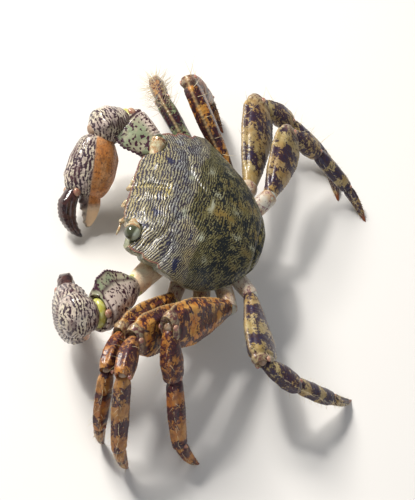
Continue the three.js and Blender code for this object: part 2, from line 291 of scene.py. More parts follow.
straight = [[0, 1, 1, 1], [1, 2, 2, 2]]
print("halfway between widths 1 and 2:", round(float(blend_stations(straight, [0.5])[0][0]), 3))

# %% The tube itself
NECK_ROUND = 0.9  # length of the rounded near end, millimetres
CUP_RINGS, CUP_DEPTH, CUP_LIP, CUP_CLOSING = 8, 1.3, 0.35, 0.55  # the hollow in the far end


def limb(start, end, up, stations, bow=0.0, square=2.2, sides=72, spacing=0.17, slant=0.0, tip=0.0):
    """Rings of one plate; `tip` is the length of a rounded far end in millimetres, 0 for a cup."""
    start, end = np.asarray(start, float), np.asarray(end, float)
    line = end - start
    length = np.linalg.norm(line)
    along = line / length
    tall = unit(np.asarray(up, float) - along * np.dot(up, along))
    flat = np.cross(along, tall)
    first, last = stations[0][0], stations[-1][0]
    places = np.linspace(first, last, max(12, int((last - first) * length / spacing)))
    above, below, thick = blend_stations(stations, places)
    round_near = NECK_ROUND / length
    closing = np.sqrt(np.clip(1 - ((first + round_near - places) / round_near).clip(0, 1) ** 2, 0.02, 1))
    if tip:
        round_far = tip / length
        far_share = ((places - last + round_far) / round_far).clip(0, 1)
        closing = closing * np.sqrt(np.clip(1 - far_share ** 2, 0.03, 1))
    else:
        inside = np.linspace(0, 1, CUP_RINGS + 1)[1:]
        lip = CUP_LIP * np.minimum(1, inside * 3)
        above, below, thick = (np.concatenate([width, width[-1] - lip]) for width in (above, below, thick))
        closing = np.concatenate([closing, 1 - CUP_CLOSING * inside ** 3])
        places = np.concatenate([places, last - inside * CUP_DEPTH / length])
    angle = 2 * np.pi * np.arange(sides) / sides
    power = 2 / square
    rise = np.sign(np.cos(angle)) * np.abs(np.cos(angle)) ** power
    width = np.sign(np.sin(angle)) * np.abs(np.sin(angle)) ** power
    reach = np.where(rise[None] > 0, above[:, None], below[:, None]) * closing[:, None] * rise[None]
    spread = (thick * closing)[:, None] * width[None]
    skew = slant * np.cos(angle)[None] * step(0.6, 1.0, places)[:, None]
    centre = start + places[:, None, None] * line + (bow * 4 * places * (1 - places))[:, None, None] * tall
    rings = centre + reach[..., None] * tall + spread[..., None] * flat + skew[..., None] * along
    place = np.repeat(places[:, None], sides, 1)
    turn = np.repeat(angle[None], len(places), 0)
    return {"rings": rings, "place": place, "turn": turn, "length": length, "along": along, "flat": flat}


sample = limb((0, 0, 0), (10, 0, 0), (0, 0, 1), straight)
print("a sample plate has rings, sides", sample["rings"].shape[:2])

# %% [markdown]
# ## Relief
# Up close a plate is not smooth: it has ridges like the lines of a fingertip, worn grains and
# crests. These could be bump in the shader, but real relief also shows at the edge of the
# crab against the light, so every point is moved along its normal.


# %% Relief shared by the plates
def raise_relief(plate, height):
    """Moves each point out along the normal by a height in millimetres."""
    plate["rings"] = plate["rings"] + outward(plate["rings"]) * height[..., None]


def grain(points, size, depth, seed):
    """Fine low bumps, as of worn shell."""
    return depth * noise(points, size, seed)


def scales_of(plate, spacing, depth, seed):
    """Short transverse ridges, broken up like the lines of a fingertip."""
    points = plate["rings"]
    reach = plate["place"] * plate["length"]
    wander = 0.55 * noise(points, 2.6, seed) + 0.22 * noise(points, 0.9, seed + 1)
    wave = np.cos(2 * np.pi * (reach / spacing + wander))
    return depth * step(0.1, 1.0, wave) * step(-0.35, 0.25, noise(points, 1.4, seed + 2))


print("depth of a sample's ridges", round(float(np.ptp(scales_of(sample, 0.7, 0.1, 1))), 3), "mm")

# %% [markdown]
# ## Finishes
# A crab's colours sit in the shell itself. Each finish is a pale ground with darker pigment over
# it, in lines, blotches or a net, under a thin wet gloss. The patterns read object coordinates
# or marks that the mesh carries, so they stay on the shell from every side.


# %% Short names for the nodes that all finishes use
def colour(*rgb):
    """A colour with its alpha."""
    return (*rgb, 1.0)


def place_of(tree, seed=0.0, stretch=(1, 1, 1)):
    """Object coordinates, moved by a seed and stretched."""
    coordinates = node(tree, "ShaderNodeTexCoord", out="Object")
    return node(tree, "ShaderNodeMapping", Vector=coordinates, Location=(seed, seed * 0.7, seed * 1.3), Scale=stretch)


def cloud(tree, where, size_mm, detail=2.0, rough=0.5, warp=0.0):
    """Noise from 0 to 1 with features of a size in millimetres."""
    return node(tree, "ShaderNodeTexNoise", out="Fac", Vector=where, Scale=1.0 / (size_mm * MM),
                Detail=detail, Roughness=rough, Distortion=warp)


def sums(tree, kind, a, b=0.0):
    """One step of arithmetic, such as SUBTRACT."""
    return node(tree, "ShaderNodeMath", props={"operation": kind}, i0=a, i1=b)


def plus(tree, a, b):
    """The sum of two values."""
    return sums(tree, "ADD", a, b)


def times(tree, a, b):
    """The product of two values."""
    return sums(tree, "MULTIPLY", a, b)


def rise(tree, value, low, high, top=1.0, bottom=0.0):
    """A smooth rise between two levels."""
    return node(tree, "ShaderNodeMapRange", props={"interpolation_type": "SMOOTHSTEP"}, Value=value,
                From_Min=low, From_Max=high, To_Min=bottom, To_Max=top)


def blend(tree, share, a, b):
    """The first colour where the share is 0, the second where it is 1."""
    return node(tree, "ShaderNodeMix", out=2, props={"data_type": "RGBA"}, i0=share, i6=a, i7=b)


def two_tones(tree, pattern, low, high, first, second):
    """The first colour where a pattern is below `low`, the second where it is above `high`."""
    return blend(tree, rise(tree, pattern, low, high), colour(*first), colour(*second))


def mark(tree, name):
    """A value that the mesh carries at its points."""
    return node(tree, "ShaderNodeAttribute", out="Fac", props={"attribute_name": name})


def contour(tree, value, level, width):
    """Thin lines where a noise crosses a level."""
    away = sums(tree, "ABSOLUTE", sums(tree, "SUBTRACT", value, level))
    return rise(tree, away, 0.0, width, top=0.0, bottom=1.0)


FILM_ROUGHNESS, SHELL_IOR, SHELL_SHINE = 0.12, 1.5, 0.25


def wet(tree, shader, paint, rough, bump=None, depth_mm=0.03, coat=0.5):
    """Colour, roughness, relief and a thin film of water."""
    tree.links.new(paint, shader.inputs["Base Color"])
    if isinstance(rough, float):
        shader.inputs["Roughness"].default_value = rough
    else:
        tree.links.new(rough, shader.inputs["Roughness"])
    shader.inputs["Coat Weight"].default_value = coat
    shader.inputs["Coat Roughness"].default_value = FILM_ROUGHNESS
    shader.inputs["IOR"].default_value = SHELL_IOR
    shader.inputs["Specular IOR Level"].default_value = SHELL_SHINE
    if bump is not None:
        normal = node(tree, "ShaderNodeBump", Strength=1.0, Distance=depth_mm * MM, Height=bump)
        tree.links.new(normal, shader.inputs["Normal"])


# %% [markdown]
# ### The back
# A marbled crab's back is tan in front and olive behind, crossed by dark wavy lines. The lines go
# with low ridges, so the mesh carries the count of the ridge at each point, and a cosine of it
# gives one line for each ridge. Noise added to it makes the lines swell, break and run together.


# %% Back: fine dark lines over tan, olive towards the tail
def back_finish():
    """The finish of the shield's top."""
    material, tree, shader = new_finish("back_shell")
    fine = cloud(tree, place_of(tree), 0.5, 2, 0.5)
    crumbs = cloud(tree, place_of(tree, 0.15), 0.38, 3, 0.6)
    breaks = cloud(tree, place_of(tree, 0.3), 1.1, 3, 0.65)
    coarse = cloud(tree, place_of(tree, 0.7), 3.6, 3, 0.6)
    rear, dark = mark(tree, "rear"), mark(tree, "dark")
    # Lines: the count of ridges, shaken a little, as a wave.
    shake = times(tree, sums(tree, "SUBTRACT", fine, 0.5), 1.25)
    count = plus(tree, mark(tree, "stria"), shake)
    wave = sums(tree, "COSINE", times(tree, count, 2 * math.pi))
    level = plus(tree, times(tree, wave, mark(tree, "line")), dark)
    level = plus(tree, level, rise(tree, crumbs, 0.3, 0.7, top=0.9, bottom=-0.9))
    level = plus(tree, level, rise(tree, breaks, 0.3, 0.7, top=0.55, bottom=-0.6))
    inked = rise(tree, level, -0.16, 0.12)
    # Ground: tan in front with a grey-blue band, partly the shell's grey and partly a painted bluish sheen, olive
    # behind, with pale and ochre spots.
    tan = two_tones(tree, coarse, 0.38, 0.62, (0.25, 0.205, 0.095), (0.24, 0.22, 0.145))
    slate_and_sheen = two_tones(tree, cloud(tree, place_of(tree, 1.1), 2.2, 2), 0.4, 0.6,
                      (0.225, 0.21, 0.14), (0.155, 0.165, 0.175))
    olive = two_tones(tree, breaks, 0.38, 0.62, (0.082, 0.069, 0.022), (0.165, 0.152, 0.070))
    ochre = blend(tree, rear, colour(0.40, 0.32, 0.10), colour(0.175, 0.115, 0.028))
    ground = blend(tree, rear, blend(tree, mark(tree, "slate_and_sheen"), tan, slate_and_sheen), olive)
    ground = blend(tree, mark(tree, "pale"), ground, colour(0.30, 0.31, 0.235))
    ground = blend(tree, mark(tree, "yellow"), ground, ochre)
    # Pigment: brown lines and navy blotches in front, nearly black behind.
    navy = two_tones(tree, dark, 0.5, 1.6, (0.024, 0.018, 0.026), (0.015, 0.017, 0.046))
    black = two_tones(tree, dark, -0.3, 0.7, (0.018, 0.013, 0.007), (0.004, 0.006, 0.007))
    paint = blend(tree, inked, ground, blend(tree, rear, navy, black))
    paint = blend(tree, mark(tree, "edge"), paint, colour(0.23, 0.075, 0.055))
    rough = rise(tree, fine, 0.3, 0.7, top=0.5, bottom=0.32)
    wet(tree, shader, paint, rough, plus(tree, fine, breaks), 0.05, 0.3)
    return material


BACK = back_finish()
print("back finish nodes", len(BACK.node_tree.nodes))


# %% Side wall and underside: pale shell with thin lines
def pale_finish(name, ground, shade, ink, ink_share):
    """Two pale colours under squiggles and dots of ink."""
    material, tree, shader = new_finish(name)
    broad = cloud(tree, place_of(tree), 4.0, 3, 0.6)
    fine = cloud(tree, place_of(tree, 0.4), 0.7, 3, 0.6, 0.6)
    paint = two_tones(tree, broad, 0.35, 0.65, ground, shade)
    flow = cloud(tree, place_of(tree, 0.9, (1, 1, 2.2)), 1.7, 2, 0.5, 0.8)
    squiggle = contour(tree, flow, 0.5, 0.035)
    dots = rise(tree, fine, 0.6, 0.68)
    inked = times(tree, sums(tree, "MAXIMUM", squiggle, dots), ink_share)
    paint = blend(tree, inked, paint, colour(*ink))
    wet(tree, shader, paint, 0.38, fine, 0.04, 0.35)
    return material


WALL = pale_finish("side_shell", (0.30, 0.29, 0.18), (0.22, 0.24, 0.16), (0.035, 0.03, 0.035), 1.0)
BELLY = pale_finish("under_shell", (0.50, 0.44, 0.31), (0.44, 0.40, 0.31), (0.20, 0.09, 0.10), 0.35)
HIP = pale_finish("hip_shell", (0.50, 0.46, 0.38), (0.42, 0.27, 0.14), (0.16, 0.05, 0.08), 0.9)
CLAW_HIP = pale_finish("claw_hip", (0.86, 0.77, 0.58), (0.78, 0.55, 0.33), (0.34, 0.12, 0.10), 0.35)
print("pale finishes", [finish.name for finish in (WALL, BELLY, HIP, CLAW_HIP)])

# %% [markdown]
# ### The legs
# A leg plate is rust or tan under dark blotches, which gather into loose cross bands. A noise
# alone would scatter them evenly, so a slow wave along the plate lifts its level here and there.
# A net of thin dark threads, from the borders of warped cells, joins the blotches on the rust
# plates.


# %% Legs: tan or orange plates, marbled with purple-brown
UPPER_RUSTS = ((0.43, 0.135, 0.012), (0.51, 0.24, 0.045))
LOWER_RUSTS = ((0.30, 0.085, 0.012), (0.42, 0.17, 0.035))
CELL_MM, CELL_WARP_MM = 2.3, 1.5


def warped_cells(tree, where):
    """Distance to the border of the nearest cell, with the borders bent by a noise."""
    ragged = node(tree, "ShaderNodeTexNoise", out="Color", Vector=where, Scale=1.0 / (0.7 * MM), Detail=3.0)
    ragged = node(tree, "ShaderNodeVectorMath", props={"operation": "SCALE"}, i0=ragged, Scale=CELL_WARP_MM * MM)
    moved = node(tree, "ShaderNodeVectorMath", props={"operation": "ADD"}, i0=where, i1=ragged)
    return node(tree, "ShaderNodeTexVoronoi", out="Distance", props={"feature": "DISTANCE_TO_EDGE"},
                Vector=moved, Scale=1.0 / (CELL_MM * MM))


def leg_finish(name, bands, cover, web=0.4, tip=False, pale_end=False, sage=False, rusts=UPPER_RUSTS):
    """`bands` is how strongly the pigment gathers in cross bands, `cover` how much of the plate it takes."""
    material, tree, shader = new_finish(name)
    orange, place = mark(tree, "orange"), mark(tree, "place")
    blotch = cloud(tree, place_of(tree, 0.2), 1.9, 6, 0.8)
    crumbs = cloud(tree, place_of(tree, 0.6), 0.6, 3, 0.65)
    tan = two_tones(tree, cloud(tree, place_of(tree, 1.4), 1.6, 3), 0.38, 0.62, (0.27, 0.19, 0.068), (0.34, 0.27, 0.13))
    rust = two_tones(tree, cloud(tree, place_of(tree, 1.7), 2.1, 3), 0.38, 0.62, *rusts)
    if sage:
        rust = tan = two_tones(tree, crumbs, 0.4, 0.6, (0.17, 0.22, 0.11), (0.32, 0.31, 0.19))
    # Blotches: noise, cross bands, crumbs and the plate's own share of ink.
    ripple = sums(tree, "COSINE", times(tree, mark(tree, "band"), 2 * math.pi))
    level = plus(tree, blotch, times(tree, ripple, bands))
    level = plus(tree, level, times(tree, sums(tree, "SUBTRACT", crumbs, 0.5), 0.5))
    level = plus(tree, level, mark(tree, "ink"))
    stains = rise(tree, level, 0.52 - cover, 0.56 - cover)
    # Threads between them, in patches and on orange plates only.
    net = rise(tree, warped_cells(tree, place_of(tree)), 0.09, 0.14, top=0.0, bottom=1.0)
    net = times(tree, net, rise(tree, cloud(tree, place_of(tree, 2.7), 2.4, 2), 0.36, 0.46))
    net = times(tree, net, times(tree, orange, web))
    stains = sums(tree, "MAXIMUM", stains, net)
    blue_black = two_tones(tree, crumbs, 0.4, 0.6, (0.020, 0.015, 0.046), (0.040, 0.020, 0.024))
    maroon = two_tones(tree, crumbs, 0.4, 0.6, (0.022, 0.007, 0.009), (0.075, 0.016, 0.018))
    paint = blend(tree, stains, blend(tree, orange, tan, rust), blend(tree, orange, blue_black, maroon))
    if pale_end:
        knee_edge = times(tree, rise(tree, place, 0.93, 0.99), 0.75)
        paint = blend(tree, knee_edge, paint, two_tones(tree, crumbs, 0.4, 0.6, (0.34, 0.28, 0.17), (0.11, 0.04, 0.04)))
    if tip:
        paint = blend(tree, rise(tree, place, 0.78, 0.95), paint, colour(0.20, 0.05, 0.012))
    paint = blend(tree, mark(tree, "lift"), paint, colour(0.45, 0.32, 0.15))
    wet(tree, shader, paint, rise(tree, crumbs, 0.3, 0.7, top=0.5, bottom=0.3), crumbs, 0.06, 0.22)
    return material


MERUS_FINISH = leg_finish("leg_thigh", 0.08, 0.02, web=1.15, pale_end=True)
SAGE_FINISH = leg_finish("leg_thigh_sage", 0.05, 0.09, web=1.0, sage=True)
CARPUS_FINISH = leg_finish("leg_knee", 0.03, 0.05, rusts=LOWER_RUSTS)
PROPODUS_FINISH = leg_finish("leg_shank", 0.12, 0.05, rusts=LOWER_RUSTS)
DACTYLUS_FINISH = leg_finish("leg_foot", 0.07, 0.03, tip=True, rusts=LOWER_RUSTS)
print("leg finish nodes", len(MERUS_FINISH.node_tree.nodes))

# %% [markdown]
# ### The claws
# A claw's outer face is pale under a maze of fine dark lines, its inner face orange and its arm
# sage green with wine-red dots. The lines follow a wave that the mesh carries, as on the back,
# and spots and rims come from noise and marks, so that one function serves the arm and the hand.


# %% Claws: a pale plate under a net of fine dark lines
def claw_finish(name, ground, shade, ink, dots):
    """`dots` is the strength of the round spots."""
    material, tree, shader = new_finish(name)
    broad = cloud(tree, place_of(tree), 2.4, 3, 0.6)
    crumbs = cloud(tree, place_of(tree, 0.6), 0.45, 3, 0.65)
    # Ink: threads along the wave, spots, dots on the orange face, and the rim.
    patches = rise(tree, cloud(tree, place_of(tree, 1.3), 1.5, 3), 0.3, 0.7, top=0.7, bottom=-0.6)
    level = plus(tree, mark(tree, "wave"), rise(tree, crumbs, 0.3, 0.7, top=1.1, bottom=-1.1))
    level = plus(tree, level, patches)
    threads = times(tree, rise(tree, level, 0.1, 0.5), mark(tree, "net"))
    spots = rise(tree, cloud(tree, place_of(tree, 2.1), 0.7, 1, 0.4), 0.55, 0.61)
    spots = times(tree, spots, dots)
    dotted = times(tree, rise(tree, crumbs, 0.56, 0.63), mark(tree, "orange"))
    rim = times(tree, mark(tree, "rim"), rise(tree, crumbs, 0.2, 0.45))
    inked = sums(tree, "MAXIMUM", sums(tree, "MAXIMUM", threads, spots), times(tree, dotted, 0.7))
    inked = sums(tree, "MAXIMUM", inked, rim)
    # Paint: ground, pale ridges and patches (on the right wrist partly a painted highlight), orange, ink, brown patches
    # and cream finger tips.
    paint = two_tones(tree, broad, 0.38, 0.62, ground, shade)
    paint = blend(tree, mark(tree, "lift"), paint, colour(0.56, 0.46, 0.39))
    rust = two_tones(tree, broad, 0.4, 0.6, (0.50, 0.19, 0.05), (0.56, 0.27, 0.11))
    paint = blend(tree, mark(tree, "orange"), paint, rust)
    paint = blend(tree, inked, paint, colour(*ink))
    dusk = two_tones(tree, crumbs, 0.4, 0.6, (0.030, 0.012, 0.018), (0.10, 0.04, 0.04))
    paint = blend(tree, mark(tree, "brown"), paint, dusk)
    paint = blend(tree, mark(tree, "cream"), paint, colour(0.86, 0.60, 0.36))
    wet(tree, shader, paint, rise(tree, crumbs, 0.3, 0.7, top=0.45, bottom=0.26), crumbs, 0.07, 0.45)
    return material


BLADE_FINISH = claw_finish("claw_arm", (0.23, 0.265, 0.16), (0.32, 0.29, 0.20), (0.045, 0.012, 0.024), 1.0)
CLAW_FINISH = claw_finish("claw_hand", (0.53, 0.465, 0.35), (0.40, 0.32, 0.28), (0.035, 0.016, 0.026), 0.3)
print("claw finish nodes", len(CLAW_FINISH.node_tree.nodes))


# %% Plain finishes: soft skin, knobs, bristles, fingers
SKIN_SCATTER = (0.0012, 0.0006, 0.0003)  # how deep red, green and blue light goes, metres


def simple_finish(name, low, high, size, rough, coat=0.3, under=0.0):
    """Two colours speckled together; `under` is the share of light that enters soft skin."""
    material, tree, shader = new_finish(name)
    speckle = cloud(tree, place_of(tree), size, 3, 0.6)
    paint = two_tones(tree, speckle, 0.35, 0.65, low, high)
    wet(tree, shader, paint, rough, speckle, 0.04, coat)
    shader.inputs["Subsurface Weight"].default_value = under
    shader.inputs["Subsurface Radius"].default_value = SKIN_SCATTER
    return material


FINGER_FINISH = simple_finish("claw_finger", (0.020, 0.008, 0.010), (0.06, 0.022, 0.018), 1.2, 0.22, 0.7)
SKIN_WHITE = simple_finish("skin_white", (0.36, 0.37, 0.33), (0.48, 0.44, 0.33), 0.9, 0.35, 0.4, 0.2)
SKIN_KNEE = simple_finish("skin_knee", (0.22, 0.13, 0.08), (0.36, 0.26, 0.18), 0.7, 0.35, 0.4, 0.15)
SKIN_YELLOW = simple_finish("skin_yellow", (0.40, 0.37, 0.05), (0.48, 0.48, 0.18), 0.9, 0.3, 0.5, 0.2)
KNOB = simple_finish("joint_knob", (0.26, 0.08, 0.065), (0.42, 0.27, 0.17), 0.6, 0.25, 0.6)
BRISTLE = simple_finish("bristle", (0.52, 0.42, 0.24), (0.66, 0.58, 0.38), 1.0, 0.4, 0.1)
SPINE = simple_finish("spine", (0.05, 0.02, 0.01), (0.16, 0.07, 0.03), 0.5, 0.3)
STALK_FINISH = simple_finish("eye_stalk", (0.36, 0.20, 0.09), (0.48, 0.44, 0.28), 0.6, 0.25, 0.7)
print("finishes", len(bpy.data.materials))

# %% [markdown]
# ## Walking legs
# The stations and the joints are those of the solid model. The upper leg is broad and flat, with
# a sharp crest along the top, the knee is short with two ridges, the shank is round, and the foot
# is a ribbed spike that ends in a horn tip on the floor. One table of widths serves all eight
# legs, because a crab's legs differ in size and pose but hardly in form.

# %% Sizes of the legs, in millimetres: place on the line, reach up, reach down, half thickness
HIP_WIDTHS = [[0, 2, 2, 1.7], [0.5, 2.1, 2.1, 1.7], [1, 2, 2, 1.5], [1.12, 1.7, 1.7, 1.3]]
MERUS_WIDTHS = [[0, 1.6, 1.6, 1.2], [0.12, 1.9, 2.2, 1.4], [0.35, 2.9, 3.5, 1.7], [0.65, 3.8, 4.8, 1.9],
                [0.88, 3.8, 4.5, 1.9], [1, 2.8, 3.2, 1.65], [1.05, 2.0, 2.2, 1.3]]
CARPUS_WIDTHS = [[0, 1.4, 1.4, 1.0], [0.3, 2.1, 2, 1.5], [0.7, 2.7, 2.5, 1.8], [0.98, 2.4, 2.2, 1.65],
                 [1.1, 1.65, 1.55, 1.2]]
PROPODUS_WIDTHS = [[0, 1.3, 1.3, 0.95], [0.15, 1.9, 1.8, 1.4], [0.5, 2, 1.9, 1.5], [0.9, 1.8, 1.7, 1.4],
                   [1.04, 1.4, 1.3, 1.1]]
DACTYLUS_WIDTHS = [[0, 1, 1, 0.8], [0.15, 1.4, 1.3, 1.1], [0.5, 1.1, 1, 0.9], [0.85, 0.62, 0.58, 0.5],
                   [1.06, 0.2, 0.2, 0.2]]
# Each leg: its size, then six points from the hip to the tip of the foot, where its plates meet.
LEGS = {
    "leg2_l": (0.9, [(10.5, .2, 11.8), (16.8, -.5, 12), (31.8, -9.4, 17.5), (40.5, -10.7, 18.8),
                     (45.5, -8, 8), (44.5, -5.5, 0)]),
    "leg3_l": (0.98, [(10.5, 4.4, 11.8), (16.8, 5, 12), (33.5, -7.2, 20), (42, -8, 21.2),
                      (49, -3.8, 8.6), (48, 0, 0)]),
    "leg4_l": (1.0, [(9.8, 8, 12.3), (15.5, 10.3, 13.2), (30.5, -2, 22.6), (35.5, 2, 15.5),
                     (43.5, 7.5, 6.5), (42.8, 13, 0)]),
    "leg5_l": (0.92, [(7.8, 10.8, 12.5), (11, 14, 13), (26.5, 18, 15.5), (26.4, 26, 11.4),
                      (22.8, 35.5, 5), (18.8, 41.5, 0)]),
    "leg2_r": (0.9, [(-10.5, .2, 12), (-16, -1, 12.5), (-27, -11.8, 15), (-34.2, -13.2, 11),
                     (-41.5, -12.5, 3.8), (-37, -7, 0)]),
    "leg3_r": (0.98, [(-10.5, 4.2, 11.8), (-16, 6, 12), (-28, -8.5, 22), (-33, -4.5, 15),
                      (-41, -1, 5), (-38, 4.5, 0)]),
    "leg4_r": (1.0, [(-9.5, 8, 12), (-15, 10, 12.3), (-36.5, 8.3, 13.5), (-39, 16.5, 8.8),
                     (-37.5, 28, 3), (-30.5, 33, 0)]),
    "leg5_r": (0.92, [(-7.5, 10.8, 13), (-12, 13.8, 15), (-29, 15.5, 16), (-31.5, 23, 11),
                      (-31, 33, 4.2), (-27.3, 39.7, 0)]),
}
print("legs", list(LEGS))

# %% Colour of each leg: how orange it is, and how much ink each of its five plates has
# The hind legs are tan and blue-black, the others rust and maroon.
RUST = {"leg2_l": 0.75, "leg3_l": 0.8, "leg4_l": 0.85, "leg5_l": 0.1,
        "leg2_r": 0.6, "leg3_r": 0.95, "leg4_r": 0.08, "leg5_r": 0.05}
FRONT_LEFT_INK = (0.0, 0.0, 0.012, -0.01, -0.015)
INK = {
    "leg2_l": FRONT_LEFT_INK, "leg3_l": FRONT_LEFT_INK, "leg4_l": FRONT_LEFT_INK,
    "leg5_l": (0.0, 0.05, 0.04, 0.07, 0.05),
    "leg2_r": (0.0, 0.0, 0.02, 0.02, 0.0), "leg3_r": (0.0, 0.0, 0.02, 0.02, 0.0),
    "leg4_r": (0.0, 0.01, 0.02, 0.03, 0.02), "leg5_r": (0.0, 0.03, 0.02, 0.07, 0.05),
}
print("most orange leg", max(RUST, key=RUST.get), "most inked", max(INK, key=lambda leg: sum(INK[leg])))

# %% [markdown]
# ### Relief of the leg plates
# Each plate has its own ridges. They are written as heights over the plate's two directions, the
# angle round it and the place along it, because such a height follows the plate wherever it turns.

# %% Relief of each leg plate
def crest(turn, at, width):
    """1 on a lengthwise line at an angle round the plate, 0 away from it."""
    away = np.abs((turn - at + np.pi) % (2 * np.pi) - np.pi)
    return np.exp(-(away / width) ** 2)


def crests(turn, at, width):
    """Two such lines, one on each side of the plate."""
    return crest(turn, at, width) + crest(turn, -at, width)


def collar(place, at, width):
    """1 on a ring round the plate, 0 away from it."""
    return np.exp(-((place - at) / width) ** 2)


def worn(points, fine, fine_depth, broad, broad_depth, seed):
    """Grains and broad dents together."""
    return grain(points, fine, fine_depth, seed) + grain(points, broad, broad_depth, seed + 3)


print("crest at 0, 0.1 and 1 radian", np.round(crest(np.array([0.0, 0.1, 1.0]), 0, 0.2), 3))


# %% Upper leg: a toothed crest on top, two beaded edges below, and a grooved cuff at the knee
def relief_merus(plate, size, seed):
    """Heights of the upper leg plate."""
    turn, place, points = plate["turn"], plate["place"], plate["rings"]
    body = step(0.08, 0.25, place) * step(1.03, 0.93, place)
    teeth = 0.5 + 0.5 * np.cos(2 * np.pi * place * plate["length"] / 0.85)
    height = 0.20 * crest(turn, 0, 0.16) * body * (0.7 + 0.5 * teeth)
    height += 0.16 * crests(turn, np.pi - 0.3, 0.14) * body * (0.6 + 0.6 * teeth)
    height -= 0.20 * crests(turn, 0.55, 0.22) * body
    height += 0.07 * crests(turn, 0.95, 0.2) * body
    height += scales_of(plate, 0.62, 0.07, seed) * step(-0.3, 0.5, np.cos(turn)) * body
    height += 0.14 * collar(place, 1.0, 0.022) - 0.22 * collar(place, 0.955, 0.02)
    return (height + worn(points, 0.8, 0.035, 3.5, 0.12, seed)) * size


# %% Knee, shank and foot
def relief_carpus(plate, size, seed):
    """Two ridges with a groove between them."""
    turn, place, points = plate["turn"], plate["place"], plate["rings"]
    body = step(0.12, 0.35, place) * step(1.08, 0.95, place)
    height = (0.20 * crests(turn, 0.5, 0.22) - 0.14 * crest(turn, 0, 0.28)) * body
    height += scales_of(plate, 0.6, 0.04, seed) * body + 0.12 * collar(place, 1.04, 0.04)
    return (height + worn(points, 0.8, 0.04, 3.0, 0.1, seed)) * size


def relief_propodus(plate, size, seed):
    """Two ridges above and one below."""
    turn, place, points = plate["turn"], plate["place"], plate["rings"]
    body = step(0.08, 0.25, place) * step(1.02, 0.92, place)
    height = 0.13 * crests(turn, 0.45, 0.2) - 0.10 * crest(turn, 0, 0.25) + 0.08 * crest(turn, np.pi, 0.3)
    height = (height + scales_of(plate, 0.7, 0.025, seed)) * body + 0.12 * collar(place, 1.0, 0.03)
    return (height + worn(points, 0.7, 0.035, 2.4, 0.09, seed)) * size


def relief_dactylus(plate, size, seed):
    """Six ribs that fade into the horn tip."""
    turn, place, points = plate["turn"], plate["place"], plate["rings"]
    body = step(0.06, 0.25, place) * step(0.97, 0.75, place)
    height = 0.11 * np.cos(6 * turn) * body
    return (height + grain(points, 0.6, 0.03, seed)) * size


print("foot ribs on a sample", round(float(relief_dactylus(sample, 1.0, 1).max()), 3), "mm high")

# %% [markdown]
# ### Where bristles grow
# Bristles stand in rows along the edges of the legs, where they feel the rock. Their roots are
# drawn here, while each plate is at hand, and the spikes are set on them near the end. Random
# draws come from one generator with a fixed seed, so every run grows the same hairs.

# %% Rows of roots along a plate
made_pieces = []
# Each root is its place, aim, sweep, length and place on the bake map.
bristle_roots, long_roots, spine_roots, tuft_roots = [], [], [], []
random_draw = np.random.default_rng(2024)
MAP_TILES = 8  # the bake map is a board of 8 by 8 tiles, one for each plate
MAP_SHARE = 0.9  # how much of its tile a plate fills
ROOT_DEPTH = 0.08  # a root sits this far inside the shell
HAIR_CEILING, HAIR_FLOOR = 25.4, 0.1  # hairs aim no higher and reach no lower than this
CUP_END = 10  # rings at the far end, inside the cup, that grow nothing


def row(roots, plate, tile, angle, low, high, spacing, long, lean, spread=0.25):
    """Adds roots in a row at an angle round a plate, from one place to another."""
    rings, normals = plate["rings"], outward(plate["rings"])
    sides = rings.shape[1]
    corner = np.array([tile % MAP_TILES, tile // MAP_TILES, 0]) / MAP_TILES
    for place in np.arange(low, high, spacing / plate["length"]):
        spot = place + random_draw.uniform(-0.4, 0.4) * spacing / plate["length"]
        at_angle = (angle + random_draw.normal(0, spread * 0.35)) % (2 * np.pi)
        ring = int(np.clip(np.searchsorted(plate["place"][:, 0], spot), 1, len(rings) - CUP_END))
        side = int(round(at_angle / (2 * np.pi) * sides)) % sides
        aim = unit(normals[ring, side] + lean * plate["along"] + random_draw.normal(0, spread, 3))
        root = rings[ring, side] - ROOT_DEPTH * normals[ring, side]
        length = long * random_draw.uniform(0.65, 1.25)
        if root[2] + length * aim[2] > HAIR_CEILING:  # hairs on the highest knees fan out level
            rise_left = max(HAIR_CEILING - root[2], 0) / length
            aim = np.append(unit(aim[:2]) * math.sqrt(1 - rise_left**2), rise_left)
        if root[2] + length * min(aim[2], aim[2] + 0.3 * plate["along"][2]) < HAIR_FLOOR:
            continue  # it would reach into the floor
        on_map = np.array([at_angle / (2 * np.pi), np.clip(spot, 0, 1), 0]) * MAP_SHARE / MAP_TILES
        roots.append((root, aim, plate["along"], length, corner + on_map))


# %% Which plates have which hairs
# Rows on each kind of plate: angles, from, to, spacing, length, lean.
BRISTLE_ROWS = {
    "merus": [((0.0,), 0.55, 0.98, 2.6, 1.5, 0.5)],
    "carpus": [((0.5, -0.5), 0.3, 1.0, 1.9, 1.9, 0.5)],
    "propodus": [((0.45, -0.45), 0.12, 1.0, 1.0, 1.2, 0.45), ((np.pi - 0.5, np.pi + 0.5), 0.12, 1.0, 1.0, 1.0, 0.45)],
    "dactylus": [((0.5, -0.5, np.pi - 0.5, np.pi + 0.5), 0.1, 0.85, 0.45, 0.85, 0.7)],
}


def leg_bristles(leg, part, plate, tile):
    """Rows on the shank and the foot, a few long hairs higher up, and one tuft."""
    for angles, *how in BRISTLE_ROWS.get(part, []):
        for angle in angles:
            row(bristle_roots, plate, tile, angle, *how)
    if part == "dactylus":
        for angle in (1.15, -1.15, np.pi):
            row(spine_roots, plate, tile, angle, 0.15, 0.9, 0.9, 0.5, 0.9, 0.1)
    if leg in ("leg4_r", "leg3_r") and part in ("merus", "carpus", "propodus"):
        row(long_roots, plate, tile, 0.3, 0.3 if part == "merus" else 0.05, 1.0, 3.4, 4.0, 0.15, 0.2)
    if leg == "leg2_r" and part in ("merus", "carpus"):
        start, stop = (0.86, 1.0) if part == "merus" else (0.2, 1.05)
        for angle in np.arange(-1.5, 1.51, 0.3):
            row(tuft_roots, plate, tile, angle, start, stop, 0.8, 3.0, 0.25, 0.32)


print("plates with bristles", list(BRISTLE_ROWS))
